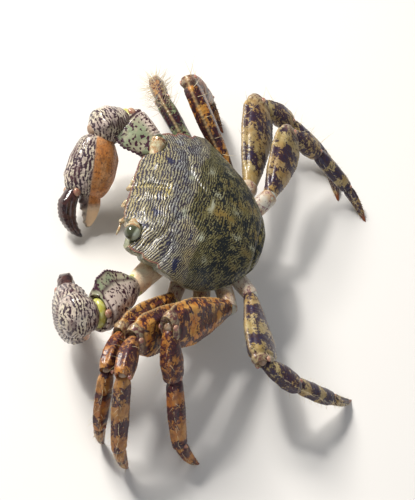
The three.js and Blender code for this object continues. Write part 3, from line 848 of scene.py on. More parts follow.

# %% Every plate rides with the body and stands for its solid
def sized(stations, size):
    """A table of stations with its widths multiplied by a size."""
    return [[place, *(reach * size for reach in reaches)] for place, *reaches in stations]


def finish_piece(piece, node_name):
    """Hands one finished plate over to the frame."""
    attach(piece, "root")
    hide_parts(node_name)
    made_pieces.append(piece)


def leg_frame(joints):
    """The way the leg bends: every plate keeps its top side outwards in the plane of the bend."""
    at = [np.array(joint, float) for joint in joints]
    return at, unit(np.cross(at[2] - at[1], at[4] - at[2]))


print("bend of leg2_l", np.round(leg_frame(LEGS["leg2_l"][1])[1], 2))

# %% Build the plates of the eight legs
# Plate, widths, bow in millimetres, settings of its tube, relief and finish.
LEG_PLATES = [
    ("base", HIP_WIDTHS, 0, dict(sides=48, spacing=0.22), None, HIP),
    ("merus", MERUS_WIDTHS, 0, dict(sides=104, spacing=0.15, slant=0.55), relief_merus, MERUS_FINISH),
    ("carpus", CARPUS_WIDTHS, 0.2, dict(sides=72, spacing=0.14, slant=0.45), relief_carpus, CARPUS_FINISH),
    ("propodus", PROPODUS_WIDTHS, 0.2, dict(sides=60, spacing=0.15, slant=0.25), relief_propodus, PROPODUS_FINISH),
    ("dactylus", DACTYLUS_WIDTHS, 0.5, dict(sides=48, spacing=0.13, tip=0.5), relief_dactylus, DACTYLUS_FINISH),
]
BANDS = {"base": 0.5, "merus": 2.4, "carpus": 1.2, "propodus": 2.3, "dactylus": 1.3}  # cross bands on each


def leg_marks(leg, number, index, part, plate, seed):
    """What the paint of a leg plate reads."""
    place, points = plate["place"], plate["rings"]
    top_line = 0.55 * crest(plate["turn"], 0, 0.12) * step(0.1, 0.3, place)
    return {
        "place": place,
        "orange": np.clip(RUST[leg] + 0.25 * noise(points, 6.0, seed), 0, 1),
        "band": place * BANDS[part] + 0.18 * noise(points, 2.5, seed + 5) + number * 0.37,
        "ink": np.full_like(place, INK[leg][index]),
        "lift": top_line if part == "merus" else 0 * place,
    }


for number, (leg, (size, joints)) in enumerate(LEGS.items()):
    at, bend = leg_frame(joints)
    for index, (part, widths, bow, settings, relief, finish) in enumerate(LEG_PLATES):
        up = np.cross(at[index + 1] - at[index], bend)
        plate = limb(at[index], at[index + 1], up, sized(widths, size), bow=bow, **settings)
        seed = number * 40 + index * 7 + 11
        if relief:
            raise_relief(plate, relief(plate, size, seed))
        plate["rings"][..., 2] = np.maximum(plate["rings"][..., 2], 0.0)
        marks = leg_marks(leg, number, index, part, plate, seed)
        if (leg, part) == ("leg2_r", "merus"):
            finish = SAGE_FINISH
        lie = plate["place"][:, 0] * plate["length"]
        piece = skin(f"{leg}_{part}_shell", plate["rings"], [finish], lie, marks)
        finish_piece(piece, f"{leg}_{part}")
        leg_bristles(leg, part, plate, number * 5 + index)
print("leg plates", len(made_pieces), "faces", sum(len(piece.data.polygons) for piece in made_pieces))

# %% [markdown]
# ## Claws
# A claw is an arm of three plates and a hand. The upper arm carries a thin blade with a beaded
# edge, the wrist is round and covered with short ridges, and the hand swells and narrows into the
# fixed finger. Hand and fixed finger are one plate, so their two tubes are melted into one skin.

# %% Sizes of the claws
CLAW_BASE_WIDTHS = [[0, 2.6, 2.6, 2.3], [0.5, 2.4, 2.4, 2.1], [1, 2.2, 2.2, 1.9], [1.12, 1.8, 1.8, 1.5]]
CLAW_MERUS_WIDTHS = [[0, 1.9, 1.9, 1.5], [0.25, 3.8, 2.9, 2.4], [0.6, 6.2, 3.8, 2.9], [0.9, 5.8, 4, 3],
                     [1.03, 3.4, 3.2, 2.4]]
CLAW_CARPUS_WIDTHS = [[0, 1.8, 1.8, 1.7], [0.2, 3.1, 3, 2.8], [0.55, 4.2, 4.1, 3.4], [0.9, 3.9, 3.8, 3.1],
                      [1.1, 2.7, 2.6, 2.2]]
PALM_WIDTHS = [[0, 2, 2.4, 1.7], [0.12, 3.4, 4.2, 2.7], [0.4, 5, 5.4, 3.5], [0.75, 5.9, 4.6, 3.7],
               [0.95, 5.6, 3.6, 3.1], [1.05, 4, 2.6, 2.2]]
FIXED_WIDTHS = [[-0.3, 2.4, 2.2, 2], [0, 2.4, 2.2, 2], [0.35, 2.1, 1.9, 1.8], [0.7, 1.4, 1.3, 1.3],
                [0.95, 0.75, 0.7, 0.7], [1.02, 0.45, 0.45, 0.45]]
MOVABLE_WIDTHS = [[-0.12, 1.5, 1.5, 1.2], [0.15, 2.2, 2, 1.8], [0.5, 1.7, 1.6, 1.5], [0.8, 1.1, 1.1, 1],
                  [0.97, 0.6, 0.6, 0.55], [1.02, 0.42, 0.42, 0.42]]
# The joints of the arm, the lines of the hand and the fingers, the ways that the blade and the
# back of the hand face, and the side (1 or -1) on which the orange inner face lies.
CLAWS = {
    "claw_l": {"arm": [(9.5, -4.6, 12), (17.2, -8.4, 12.4), (28.6, -14.4, 16.8), (32, -20.4, 16.8)],
               "palm": [(31.3, -18.8, 16.3), (23.6, -17.8, 6.9)], "blade": (-.5, -.5, .6), "back": (-.62, -.5, .6),
               "finger": [(20.8, -20.4, 9.2), (16.4, -18.2, .9)], "fixed": [(24, -17, 6.2), (17.8, -16.4, .8)],
               "inner": 1},
    "claw_r": {"arm": [(-9.5, -5, 12), (-14.4, -8.8, 12.8), (-20.4, -17.6, 13.5), (-15, -24, 13.5)],
               "palm": [(-14.8, -23, 13), (-5.4, -20.7, 6)], "blade": (.9, -.4, .1), "back": (.5, -.82, .26),
               "finger": [(-3.5, -24.2, 7.2), (2, -19.6, 1)], "fixed": [(-5.6, -20.9, 6.2), (-.5, -18.7, 1.4)],
               "inner": -1},
}
print("claws", list(CLAWS))


# %% Stacks of rings as one list of points and faces
def join_stacks(stacks):
    """The points and faces of several closed stacks of rings, one after the other."""
    points, faces, first = [], [], 0
    for rings in stacks:
        count, sides, _ = rings.shape
        points.append(rings.reshape(-1, 3))
        for ring in range(count - 1):
            for side in range(sides):
                after = (side + 1) % sides
                faces.append((first + ring * sides + side, first + ring * sides + after,
                              first + (ring + 1) * sides + after, first + (ring + 1) * sides + side))
        faces.append(tuple(first + side for side in reversed(range(sides))))
        faces.append(tuple(first + (count - 1) * sides + side for side in range(sides)))
        first += count * sides
    return np.concatenate(points), faces


print("faces of a small stack", len(join_stacks([sample["rings"][:3]])[1]))


# %% Melt tubes together and read the result back as arrays
def melt(tubes, voxel_mm, smoothing):
    """One closed skin round several tubes: points in millimetres, faces and normals."""
    joined = bpy.data.meshes.new("melt")
    points, faces = join_stacks(tubes)
    joined.from_pydata(points.tolist(), [], faces)
    blob = bpy.data.objects.new("melt", joined)
    bpy.context.scene.collection.objects.link(blob)
    remesh = blob.modifiers.new("remesh", "REMESH")
    remesh.mode = "VOXEL"
    remesh.voxel_size = voxel_mm
    smooth = blob.modifiers.new("smooth", "SMOOTH")
    smooth.iterations = smoothing
    smooth.factor = 0.5
    solid = blob.evaluated_get(bpy.context.evaluated_depsgraph_get()).to_mesh()
    count = len(solid.vertices)
    place, normal = np.empty(count * 3), np.empty(count * 3)
    solid.vertices.foreach_get("co", place)
    solid.vertices.foreach_get("normal", normal)
    faces = [tuple(polygon.vertices) for polygon in solid.polygons]
    blob.to_mesh_clear()
    bpy.data.objects.remove(blob)
    bpy.data.meshes.remove(joined)
    return place.reshape(-1, 3), faces, normal.reshape(-1, 3)


def plain_skin(name, points, faces, finish, marks):
    """An object from points in millimetres, with its marks."""
    mesh = bpy.data.meshes.new(name)
    mesh.from_pydata(((points - CENTRE) * MM).tolist(), [], faces)
    mesh.polygons.foreach_set("use_smooth", np.ones(len(faces), bool))
    for mark_name, values in marks.items():
        mesh.attributes.new(mark_name, "FLOAT", "POINT").data.foreach_set("value", np.asarray(values, np.float32))
    mesh.materials.append(finish)
    made = bpy.data.objects.new(name, mesh)
    bpy.context.scene.collection.objects.link(made)
    return made


def around_line(points, start, end, up):
    """Place along a line and angle round it from `up`, for any points."""
    start, end = np.array(start, float), np.array(end, float)
    line = end - start
    along = unit(line)
    tall = unit(np.array(up, float) - along * np.dot(up, along))
    flat = np.cross(along, tall)
    away = points - start
    high, wide = away @ tall, away @ flat
    return (away @ along) / np.linalg.norm(line), np.arctan2(wide, high)


halfway = around_line(np.array([[5.0, 0, 1]]), (0, 0, 0), (10, 0, 0), (0, 0, 1))
print("a point above the middle of a line: place and angle", np.round(halfway, 2).ravel())

# %% [markdown]
# ### Hip and upper arm
# The upper arm is a three-sided box drawn out into a blade, which hides the face when the crab
# folds its claws. The tube is thinned towards the blade, and its edge gets a row of beads.


# %% Hip and upper arm
def beads(place, length, spacing):
    """Rounded beads along an edge."""
    return np.abs(np.sin(np.pi * place * length / spacing))


def add_limb_piece(name, plate, finish, marks, node_name):
    """The skin of a plate, handed over."""
    lie = plate["place"][:, 0] * plate["length"]
    finish_piece(skin(name, plate["rings"], [finish], lie, marks), node_name)


def claw_hip(claw, build, seed):
    """The short plate next to the body."""
    hip = limb(*build["arm"][:2], build["blade"], CLAW_BASE_WIDTHS, sides=56, spacing=0.2)
    raise_relief(hip, grain(hip["rings"], 1.2, 0.08, seed))
    add_limb_piece(f"{claw}_base_shell", hip, CLAW_HIP, None, f"{claw}_base")


BLADE_THINNING = 0.72


def claw_upper_arm(claw, build, seed):
    """The plate with the blade."""
    inner = build["inner"]
    upper = limb(*build["arm"][1:3], build["blade"], CLAW_MERUS_WIDTHS, sides=120, spacing=0.14, square=2.0, slant=-0.5)
    turn_round, place, points = upper["turn"], upper["place"], upper["rings"]
    high = np.clip(np.cos(turn_round), 0, 1) ** 1.3 * step(0.15, 0.5, place) * step(1.05, 0.9, place)
    middle = points.mean(1, keepdims=True)
    sideways = ((points - middle) @ upper["flat"])[..., None] * upper["flat"]
    upper["rings"] = points = points - sideways * BLADE_THINNING * high[..., None]
    edge = crest(turn_round, 0, 0.18) * step(0.12, 0.3, place) * step(1.03, 0.96, place)
    body = step(0.05, 0.2, place) * step(1.02, 0.94, place)
    lower_edge = crest(turn_round, np.pi - 0.5 * inner, 0.12) * body
    height = 0.30 * edge * beads(place, upper["length"], 0.8)
    height += 0.22 * lower_edge * beads(place, upper["length"], 0.75)
    height += scales_of(upper, 0.7, 0.10, seed + 1) * step(-0.7, 0.2, -np.cos(turn_round)) * body
    height += 0.15 * collar(place, 0.985, 0.02) - 0.15 * collar(place, 0.93, 0.02)
    raise_relief(upper, height + grain(points, 0.7, 0.04, seed + 2) + grain(points, 3.0, 0.12, seed + 3))
    # Paint: green on the blade, pale with threads below it, dark along the edges and the hem.
    on_blade = (0.45, 0.75) if inner > 0 else (-0.2, 0.2)
    blade_side = step(*on_blade, np.cos(turn_round))
    hem = 0.8 * crests(turn_round, 0.85, 0.07) * body if inner > 0 else 0 * place
    threads = np.cos(2 * np.pi * (place * upper["length"] / 0.95 + 0.9 * noise(points, 1.6, seed + 16)))
    rim = 1.6 * crest(turn_round, 0, 0.26) * body + 0.8 * lower_edge + hem + collar(place, 0.96, 0.025)
    marks = {"net": (1 - blade_side) * step(-0.5, 0.4, noise(points, 2.4, seed + 17)), "wave": threads - 0.25,
             "orange": 0 * place, "brown": 0 * place, "rim": np.clip(rim, 0, 1), "lift": 1 - blade_side}
    add_limb_piece(f"{claw}_merus_shell", upper, BLADE_FINISH, marks, f"{claw}_merus")


print("beads", np.round(beads(np.linspace(0, 1, 5), 2.0, 1.0), 2))


# %% Wrist
def claw_wrist(claw, build, seed):
    """A round plate of short ridges with one tooth on its inner side."""
    inner = build["inner"]
    wrist = limb(*build["arm"][2:], build["back"], CLAW_CARPUS_WIDTHS, sides=104, spacing=0.14, tip=2.4)
    turn_round, place, points = wrist["turn"], wrist["place"], wrist["rings"]
    body = step(0.08, 0.3, place) * step(1.06, 0.95, place)
    height = scales_of(wrist, 0.75, 0.11, seed + 5) * body
    height += 0.7 * collar(place, 0.8, 0.12) * crest(turn_round, inner * 1.1, 0.28)
    raise_relief(wrist, height + grain(points, 0.6, 0.06, seed + 6) + grain(points, 3.0, 0.15, seed + 7))
    wander = 0.55 * noise(points, 1.5, seed + 16) + 0.25 * noise(points, 0.6, seed + 18)
    threads = np.cos(2 * np.pi * (place * wrist["length"] / 0.62 + wander))
    brown = 0.55 * step(0.2, 0.6, noise(points, 2.2, seed + 8)) + 0.7 * collar(place, 0.17, 0.07)
    # Pale patches: the shell's own mottling, made stronger on the right wrist as a painted highlight of sunlight.
    pale = (0.5 if inner > 0 else 0.9) * step(0.35, 0.8, noise(points, 2.6, seed + 9))
    marks = {"net": 0 * place + 1, "wave": threads + 0.1, "orange": 0 * place, "brown": np.clip(brown, 0, 1),
             "rim": 0 * place, "lift": pale}
    add_limb_piece(f"{claw}_carpus_shell", wrist, CLAW_FINISH, marks, f"{claw}_carpus")


print("wrist helper ready")

# %% [markdown]
# ### Hand and fingers
# The fixed finger is a part of the hand's own plate. Two tubes that merely cross would show a
# crease, so a voxel remesh melts them together before the relief is raised. The outer face has
# fine lines along the hand, the inner face is smooth and orange, and rounded teeth line the gape.


# %% The hand with its fixed finger
HAND_LINES = 38  # lines of ink round the hand
FINGER_LENGTH, TOOTH_SPACING = 8.0, 1.5


def claw_hand(claw, build, seed):
    """The hand and the fixed finger, melted into one skin."""
    inner = build["inner"]
    hand = limb(*build["palm"], build["back"], PALM_WIDTHS, sides=64, spacing=0.3)
    fixed = limb(*build["fixed"], build["back"], FIXED_WIDTHS, bow=-0.4, sides=40, spacing=0.25, tip=0.5)
    points, faces, normals = melt([hand["rings"], fixed["rings"]], 0.2, 5)
    place, turn_round = around_line(points, *build["palm"], build["back"])
    finger_place, finger_turn = around_line(points, *build["fixed"], build["back"])
    on_finger = step(0.1, 0.35, finger_place)
    face_angle = inner * np.pi / 2
    inside = step(0.32, 0.48, crest(turn_round, face_angle + inner * 0.35, 0.95)) * step(0.0, 0.12, place)
    outside = 1 - inside
    wander = 0.5 * noise(points, 2.2, seed + 10)
    ridges = np.cos(HAND_LINES * turn_round + 6.0 * wander + 2.0 * noise(points, 0.8, seed + 18))
    broken = step(0.05, 0.2, place) * step(-0.4, 0.3, noise(points, 1.0, seed + 11))
    gape = crest(finger_turn, 0, 0.4) * step(0.12, 0.25, finger_place) * step(1.0, 0.85, finger_place)
    height = 0.10 * step(0.2, 1.0, ridges) * outside * broken * (1 - on_finger)
    height += 0.22 * crest(turn_round, face_angle + inner * 1.15, 0.11) * step(0.1, 0.4, place)
    height += 0.45 * gape * beads(finger_place, FINGER_LENGTH, TOOTH_SPACING) ** 2
    height += grain(points, 0.6, 0.05, seed + 12) * outside + grain(points, 2.6, 0.10, seed + 13)
    points_out = points + normals * height[:, None]
    # Paint: lines outside, orange inside, brown at the root of the finger and cream at its end.
    orange = 1.25 * inside * (1 - 0.9 * on_finger * step(0.2, 0.5, finger_place))
    brown = 0.9 * outside * on_finger * step(0.6, 0.35, finger_place)
    brown += 0.6 * step(0.0, 0.6, noise(points_out, 1.6, seed + 14)) * outside
    pale_crest = 0.75 * crest(turn_round, face_angle + inner * 1.25, 0.12) * step(0.1, 0.3, place)
    lift = pale_crest + 0.55 * gape + 0.9 * step(0.25, 0.5, finger_place) * inside
    marks = {"net": outside * (1 - on_finger), "wave": ridges + 0.3, "orange": np.clip(orange, 0, 1),
             "brown": np.clip(brown, 0, 1), "cream": 0.85 * step(0.3, 0.6, finger_place) * step(0.3, 0.7, inside),
             "rim": 0 * place, "lift": np.clip(lift, 0, 1)}
    finish_piece(plain_skin(f"{claw}_hand_shell", points_out, faces, CLAW_FINISH, marks), f"{claw}_palm")


print("lines round a hand", HAND_LINES)


# %% The movable finger
def claw_finger(claw, build, seed):
    """A curved dark finger with two beaded ridges and teeth along its inner edge."""
    finger = limb(*build["finger"], build["back"], MOVABLE_WIDTHS, bow=2.0, sides=72, spacing=0.13, tip=0.5)
    turn_round, place, points = finger["turn"], finger["place"], finger["rings"]
    body = step(0.02, 0.15, place) * step(1.0, 0.85, place)
    height = 0.16 * crests(turn_round, 0.5, 0.16) * beads(place, finger["length"], 0.8)
    height -= 0.18 * crests(turn_round, 1.3, 0.2)
    height += 0.35 * crest(turn_round, np.pi, 0.3) * beads(place, finger["length"], TOOTH_SPACING) ** 2
    raise_relief(finger, height * body + grain(points, 0.7, 0.04, seed + 15))
    add_limb_piece(f"{claw}_finger_shell", finger, FINGER_FINISH, {"place": place}, f"{claw}_finger")


for number, (claw, build) in enumerate(CLAWS.items()):
    for make_plate in (claw_hip, claw_upper_arm, claw_wrist, claw_hand, claw_finger):
        make_plate(claw, build, 500 + 60 * number)
print("claw plates done", len(made_pieces))

# %% [markdown]
# ## The back plate
# The back is one wide shield with three sharp teeth on each side, a long straight front and a
# notch for each eye. Fine ridges cross it like the lines of a fingertip. They lie level in the
# middle and bend forwards towards the sides, a little at the shoulders and steeply over the
# gills. Each point of the mesh carries the count of the ridge it lies on, so the raised lines and
# the dark lines agree.

# %% Sizes of the body, in its own level frame: distance forwards, half width
BODY_HEIGHT, BODY_PITCH, BODY_TURN, BODY_SHIFT = 19.8, 5, -2, 0.3
CARAPACE_FLOOR, STERNUM_FLOOR, TAIL_END, TEETH_END = -5.4, -13.4, -14.3, 11.9
FRONT_HALF = 14.3  # half width that the front edge's table spans
RIM = [(-14.3, 4), (-13.5, 6.4), (-12, 8.9), (-9.8, 11.8), (-7, 14.4), (-4.2, 16.1), (-1, 17.2), (2.6, 17.45),
       (4.9, 17.0), (5.35, 16.95), (5.75, 16.15), (7.4, 16.3), (8.2, 16.1), (8.6, 16.0), (9.05, 15.15),
       (10.4, 15.2), (11.4, 14.7), (11.9, 14.3)]
FRONT_EDGE = [(0, 14.15), (3, 14.3), (6.6, 14.2), (8.0, 13.8), (8.7, 12.4), (9.3, 10.9), (10.4, 10.35),
              (11.8, 10.4), (13.0, 10.9), (13.8, 11.5), (14.3, 11.9)]
STRIA_SPACING = 0.52


def ridge(forward):
    """Height of the back along its middle."""
    return 2.2 - np.where(forward > 0, 4.6 * (forward / 14.2) ** 4, 4.2 * (forward / 14.3) ** 2)


def rim_height(forward):
    """Height of the rim: nearly level at the teeth, lower towards the tail."""
    front = -0.5 - 1.9 * (np.maximum(forward - 3, 0) / 11.2) ** 3
    rear = -0.5 - 2.8 * np.sin(np.pi / 2 * np.clip((3 - forward) / 9, 0, 1))
    return np.where(forward > 3, front, rear)


print("back is", 2 * max(wide for _, wide in RIM), "mm wide")


# %% From the body's level frame to its place over the floor
def stand(points):
    """Puts a body point (left, back, up) in its place over the floor."""
    pitch, yaw = math.radians(-BODY_PITCH), math.radians(BODY_TURN)
    nose = np.array([[1, 0, 0], [0, math.cos(pitch), -math.sin(pitch)], [0, math.sin(pitch), math.cos(pitch)]])
    swing = np.array([[math.cos(yaw), -math.sin(yaw), 0], [math.sin(yaw), math.cos(yaw), 0], [0, 0, 1]])
    return points @ (swing @ nose).T + np.array([BODY_SHIFT, 0, BODY_HEIGHT])


def stand_turn(direction):
    """The same turn for a direction."""
    return stand(direction) - stand(0 * direction)


def bump(left, forward, at, radius):
    """A soft round hump at a point of the back; a pair of radii makes it oval."""
    wide, deep = (radius, radius) if np.isscalar(radius) else radius
    return np.exp(-((left - at[0]) / wide) ** 2 - ((forward - at[1]) / deep) ** 2)


print("middle of the back", np.round(stand(np.array([0, 0, 2.2])), 2))

# %% The shield's rings: front edge to tail, each from the right rim over the top to the left
TOP_COUNT, RING_COUNT = 236, 300
EDGE_PACKING = 0.25  # how much closer the points lie at the rim than in the middle
across = (np.sin(np.linspace(-np.pi / 2, np.pi / 2, TOP_COUNT)) * EDGE_PACKING
          + np.linspace(-1, 1, TOP_COUNT) * (1 - EDGE_PACKING))
reach = np.linspace(1, 0, RING_COUNT)
side_forward = TAIL_END + reach * (TEETH_END - TAIL_END)
half_width = np.interp(side_forward, *np.array(RIM).T)
left = across[None] * half_width[:, None]
edge_forward = np.interp(np.abs(across) * FRONT_HALF, *np.array(FRONT_EDGE).T)
forward = TAIL_END + reach[:, None] * (edge_forward[None] - TAIL_END)
spread_share = np.abs(across)[None] ** 3
height = ridge(forward) + (rim_height(forward) - ridge(forward)) * spread_share
near = np.abs(left)
flat_place = np.stack([left, forward, 0 * left], -1)
in_from_rim, in_from_front = half_width[:, None] - near, edge_forward[None] - forward
print("points on the back", left.size)

# %% Regions: lobes behind the front, the furrow between them, the neck groove, the heart, the gills
lobes = 0.50 * bump(near, forward, (2.0, 11.6), (1.3, 0.9)) + 0.42 * bump(near, forward, (5.6, 11.3), (1.7, 0.9))
furrow = 0.42 * np.exp(-(left / 0.45) ** 2) * step(6.5, 9.5, forward) * step(14.6, 12.5, forward)
neck_line = 4.2 + 0.035 * (near - 2) ** 2 - 4.6 * step(6.5, 0, near)
neck = 0.30 * np.exp(-((forward - neck_line) / 0.7) ** 2) * step(1.5, 4.0, near) * step(15.5, 12, near)
heart_line = 3.4 + 0.10 * (forward + 4)
heart = 0.13 * np.exp(-((near - heart_line) / 0.85) ** 2) * step(-9.5, -6.5, forward) * step(0.5, -1.5, forward)
gill = 0.35 * bump(near, forward, (10.2, -1.5), (4.0, 5.0)) + 0.25 * bump(near, forward, (9.5, 6.5), (2.8, 2.4))
middle_hump = 0.22 * bump(left, forward, (0, 5.5), (4.0, 3.2)) + 0.2 * bump(left, forward, (0, -4.5), (2.6, 3.0))
tail_fold = 0.22 * np.exp(-((forward - TAIL_END - 1.5) / 0.35) ** 2) * step(12, 9, near)
regions = lobes - furrow - neck - heart + gill + middle_hump - tail_fold
height = height + regions * step(1.0, 0.86, np.abs(across)[None])
print("regions rise", round(float(regions.max()), 2), "and sink", round(float(-regions.min()), 2), "mm")

# %% The count of ridges: level in the middle, a little forwards at the shoulders, steeply over the gills
bend_front = 0.045 * np.maximum(near - 7.5, 0) ** 2
bend_rear = 0.62 * np.maximum(near - 4.5, 0)
forward_share = step(-6.0, 5.0, forward)
bent = forward - (bend_front * forward_share + bend_rear * (1 - forward_share))
wander = 0.34 * noise(flat_place, 5.5, 3) + 0.24 * noise(flat_place, 1.9, 4) + 0.19 * noise(flat_place, 0.9, 5)
stria = (bent + wander * (1.6 - 0.45 * forward_share)) / STRIA_SPACING
mottled = step(1.5, -2.5, forward + 0.35 * (near - 6) + 1.0 * noise(flat_place, 2.5, 8))  # 1 on the olive rear
strength = step(-0.75, -0.1, noise(flat_place, 1.8, 6)) * (1 - 0.45 * mottled)
lines = np.cos(2 * np.pi * stria)
height = height - 0.05 * lines * strength * step(1.0, 0.97, np.abs(across)[None]) + 0.03 * noise(flat_place, 1.1, 7)
# The rim itself is a fine raised bead, and the front edge a row of beads.
height = height + 0.16 * np.exp(-(in_from_rim / 0.22) ** 2) * (reach[:, None] < 0.995)
height = height + 0.12 * np.exp(-(in_from_front / 0.25) ** 2) * beads(left, 1.0, 0.8)
print("ridges from front to tail", round(float(np.ptp(stria[:, TOP_COUNT // 2]))))

# %% [markdown]
# ### Colours of the back
# Navy blotches, pale spots and ochre patches lie at the same kinds of place on every marbled
# crab: behind the front, along the neck groove and around the heart. They are listed one by one.
# Behind the neck groove the lines dissolve into streaks, which come from stretched noise.

# %% Marks for the paint: blotches and pale spots at chosen places
def blotches(table):
    """Adds soft spots (left, forward, width, depth, strength), with ragged edges."""
    ragged_left = left + 0.5 * noise(flat_place, 0.9, 21)
    ragged_forward = forward + 0.5 * noise(flat_place, 0.9, 22)
    return sum(power * bump(ragged_left, ragged_forward, (x, f), (wide, deep)) for x, f, wide, deep, power in table)


INK_SPOTS = [
    (-7.1, 9.0, 0.9, 0.55, 1.6), (2.5, 9.3, 1.3, 0.45, 1.5), (6.3, 8.9, 0.9, 0.6, 1.5),
    (9.3, 10.4, 0.7, 0.5, 1.2), (-12.2, 5.8, 1.0, 0.7, 1.3), (-7.6, 7.3, 0.7, 0.4, 1.0),
    (15.2, 2.6, 1.3, 0.7, 2.4), (8.7, 1.5, 1.5, 0.45, 1.2), (12.2, 5.2, 1.5, 0.4, 1.1),
    (-3.8, 5.3, 2.2, 0.35, 0.9), (-2.2, -3.2, 1.0, 1.1, 1.3), (4.2, -2.6, 0.9, 1.1, 1.1),
    (7.9, -6.4, 1.0, 1.7, 1.5), (5.5, -8.2, 0.8, 1.2, 1.0), (-7.6, -8.3, 1.0, 1.7, 1.7),
    (-9.4, -5.3, 0.8, 1.3, 1.3), (-2.8, -11.6, 1.1, 1.2, 1.5), (2.2, -12.6, 1.0, 0.9, 1.4),
    (-0.3, -8.8, 1.2, 1.0, 0.9), (13.6, -4.0, 0.8, 2.2, 1.3), (10.8, -7.4, 0.7, 1.5, 1.1),
    (-5.4, -1.6, 1.1, 0.8, 0.9), (2.9, -1.0, 2.0, 0.5, 1.0), (-1.9, -0.9, 1.2, 0.4, 0.9),
    (-4.4, -4.6, 0.8, 1.6, 1.0), (7.3, -10.4, 0.7, 0.9, 1.1), (-12.2, -2.4, 0.8, 1.6, 1.0)]
PALE_SPOTS = [
    (-4.5, 4.0, 0.9, 0.5, 1.1), (4.3, 3.6, 0.9, 0.5, 1.1), (8.0, -0.4, 0.8, 0.6, 1.0),
    (-8.0, 0.4, 0.9, 0.6, 0.9), (0.1, -1.1, 1.7, 0.4, 1.0), (-3.3, -1.9, 0.5, 0.9, 0.9),
    (3.2, -11.9, 0.5, 0.7, 0.8), (3.7, -7.7, 0.6, 0.8, 0.7), (9.0, 7.6, 1.4, 0.4, 0.4),
    (-10.4, -3.4, 0.5, 1.0, 0.5), (-1.2, -6.6, 0.5, 0.8, 0.5), (11.8, -2.6, 0.6, 0.6, 0.5)]
YELLOW_SPOTS = [
    (0.1, 11.0, 0.55, 2.2, 1.0), (0.2, 8.0, 2.2, 0.5, 1.0), (0.8, -3.1, 1.4, 1.5, 1.1),
    (0.9, -5.6, 0.6, 1.3, 0.9), (-5.1, -9.8, 1.2, 1.8, 0.9), (5.3, -10.8, 1.0, 1.3, 0.8),
    (-3.7, -6.6, 1.1, 1.2, 0.6), (2.8, -5.8, 0.7, 1.3, 0.6), (0.2, -12.0, 1.2, 1.4, 0.8),
    (9.6, -8.9, 0.8, 1.1, 0.5), (-7.2, -3.2, 0.9, 1.0, 0.6), (6.2, 11.4, 1.4, 0.6, 0.5),
    (-6.0, 11.6, 2.0, 0.8, 0.5)]
print("spots", len(INK_SPOTS), len(PALE_SPOTS), len(YELLOW_SPOTS))

# %% Marks that the paint of the back reads
# Streaks behind the neck groove lie along the ridges.
along_ridge = np.stack([left * 0.5, bent, 0 * left], -1)
streaks = 0.75 * noise(along_ridge, 1.3, 25) + 0.85 * noise(along_ridge, 0.55, 26) + 0.55 * noise(flat_place, 0.32, 27)
gaps = 0.55 * noise(np.stack([left, bent * 1.8, 0 * left], -1), 0.85, 28)
pale_mark = np.clip(blotches(PALE_SPOTS), 0, 1)
yellow_mark = np.clip(blotches(YELLOW_SPOTS), 0, 1)
ink_mark = (1 - 0.35 * mottled) * blotches(INK_SPOTS) - 1.3 * pale_mark - 0.35 * yellow_mark
ink_mark = ink_mark + (gaps + 0.22) * (1 - mottled) + (streaks * 1.1 + 0.12) * mottled
rear_edge = 2.7 - 2.9 * step(4.0, 8.5, left) - 1.2 * step(-9, -13, left)
rear_mark = step(0.35, -0.35, forward - rear_edge + 0.5 * noise(flat_place, 1.2, 24))
# A grey-blue band behind the front: partly the shell's grey ground, partly a painted bluish sheen of wet shell.
slate_and_sheen_mark = step(2.0, 4.5, forward) * step(9.0, 6.5, forward + 0.15 * left) * 0.85
line_mark = 1.4 - 0.8 * mottled
front_line = np.exp(-(in_from_front / 0.22) ** 2) * step(9.5, 8.0, near)
side_teeth = np.exp(-(in_from_rim / 0.3) ** 2) * step(4.6, 5.2, forward)
edge_mark = np.clip(0.6 * front_line + 0.7 * side_teeth, 0, 1)
print("share of the back that is mottled", round(float(mottled.mean()), 2))

# %% [markdown]
# ### Side wall and floor
# Under its rim the shield turns down into a pale wall, which ends where the legs begin. Wall and
# floor are further points of the same rings, so that the shield stays one closed skin, and the
# finish changes from the top's to the wall's at the rim.

# %% Side wall and floor of the shield
WALL_COUNT, FLOOR_COUNT = 18, 16
RIM_DROP = 0.75  # from the rim's top to the upper edge of the wall
wall_share = np.linspace(0, 1, WALL_COUNT)
floor_forward = forward[:, [0, -1]].mean(1)
low = np.full(RING_COUNT, CARAPACE_FLOOR)
under = rim_height(floor_forward) - RIM_DROP


def side_of(sign, rim_column):
    """One side of the shield below its rim, from the rim down to the floor."""
    rim_forward = forward[:, rim_column]
    inset = 0.35 + (0.16 * half_width[:, None] + 0.25) * wall_share[None] - 0.5 * np.sin(np.pi * wall_share)[None]
    x = sign * np.maximum(half_width[:, None] - inset, 1.0)
    z = under[:, None] + (low - under)[:, None] * wall_share[None]
    return np.stack([x, -np.repeat(rim_forward[:, None], WALL_COUNT, 1), z], -1)


left_wall = side_of(1, -1)
right_wall = side_of(-1, 0)
floor_share = np.linspace(0, 1, FLOOR_COUNT + 2)[1:-1][None, :, None]
belly_floor = left_wall[:, -1:] * (1 - floor_share) + right_wall[:, -1:] * floor_share
top = np.stack([left, -forward, height], -1)
shield = np.concatenate([top, left_wall, belly_floor, right_wall[:, ::-1]], 1)
sides_total = shield.shape[1]
wall_wave = shield[..., 1] * 0.5 + shield[..., 2] * 1.2 + 0.5 * noise(shield, 2.0, 31)
wall_relief = 0.06 * np.cos(2 * np.pi * wall_wave)
wall_relief[:, :TOP_COUNT] = 0
shield = shield + outward(shield) * wall_relief[..., None]
print("points round the shield", sides_total)

# %% Front wall: rings that close the slit between the front edge and the floor, under the brow
FRONT_LOW = -4.2
front_rings = []
for share in (0.97, 0.8, 0.6, 0.4, 0.2, 0.06):
    ring = shield[0].copy()
    ring_middle = (ring[:TOP_COUNT, 2].mean() + FRONT_LOW) / 2
    ring[:, 2] = ring_middle + (ring[:, 2] - ring_middle) * (1 - share)
    ring[:, 1] += 0.5 * math.sin(math.pi / 2 * share)
    front_rings.append(ring)
shield = np.concatenate([np.stack(front_rings), shield])
extra = len(front_rings)


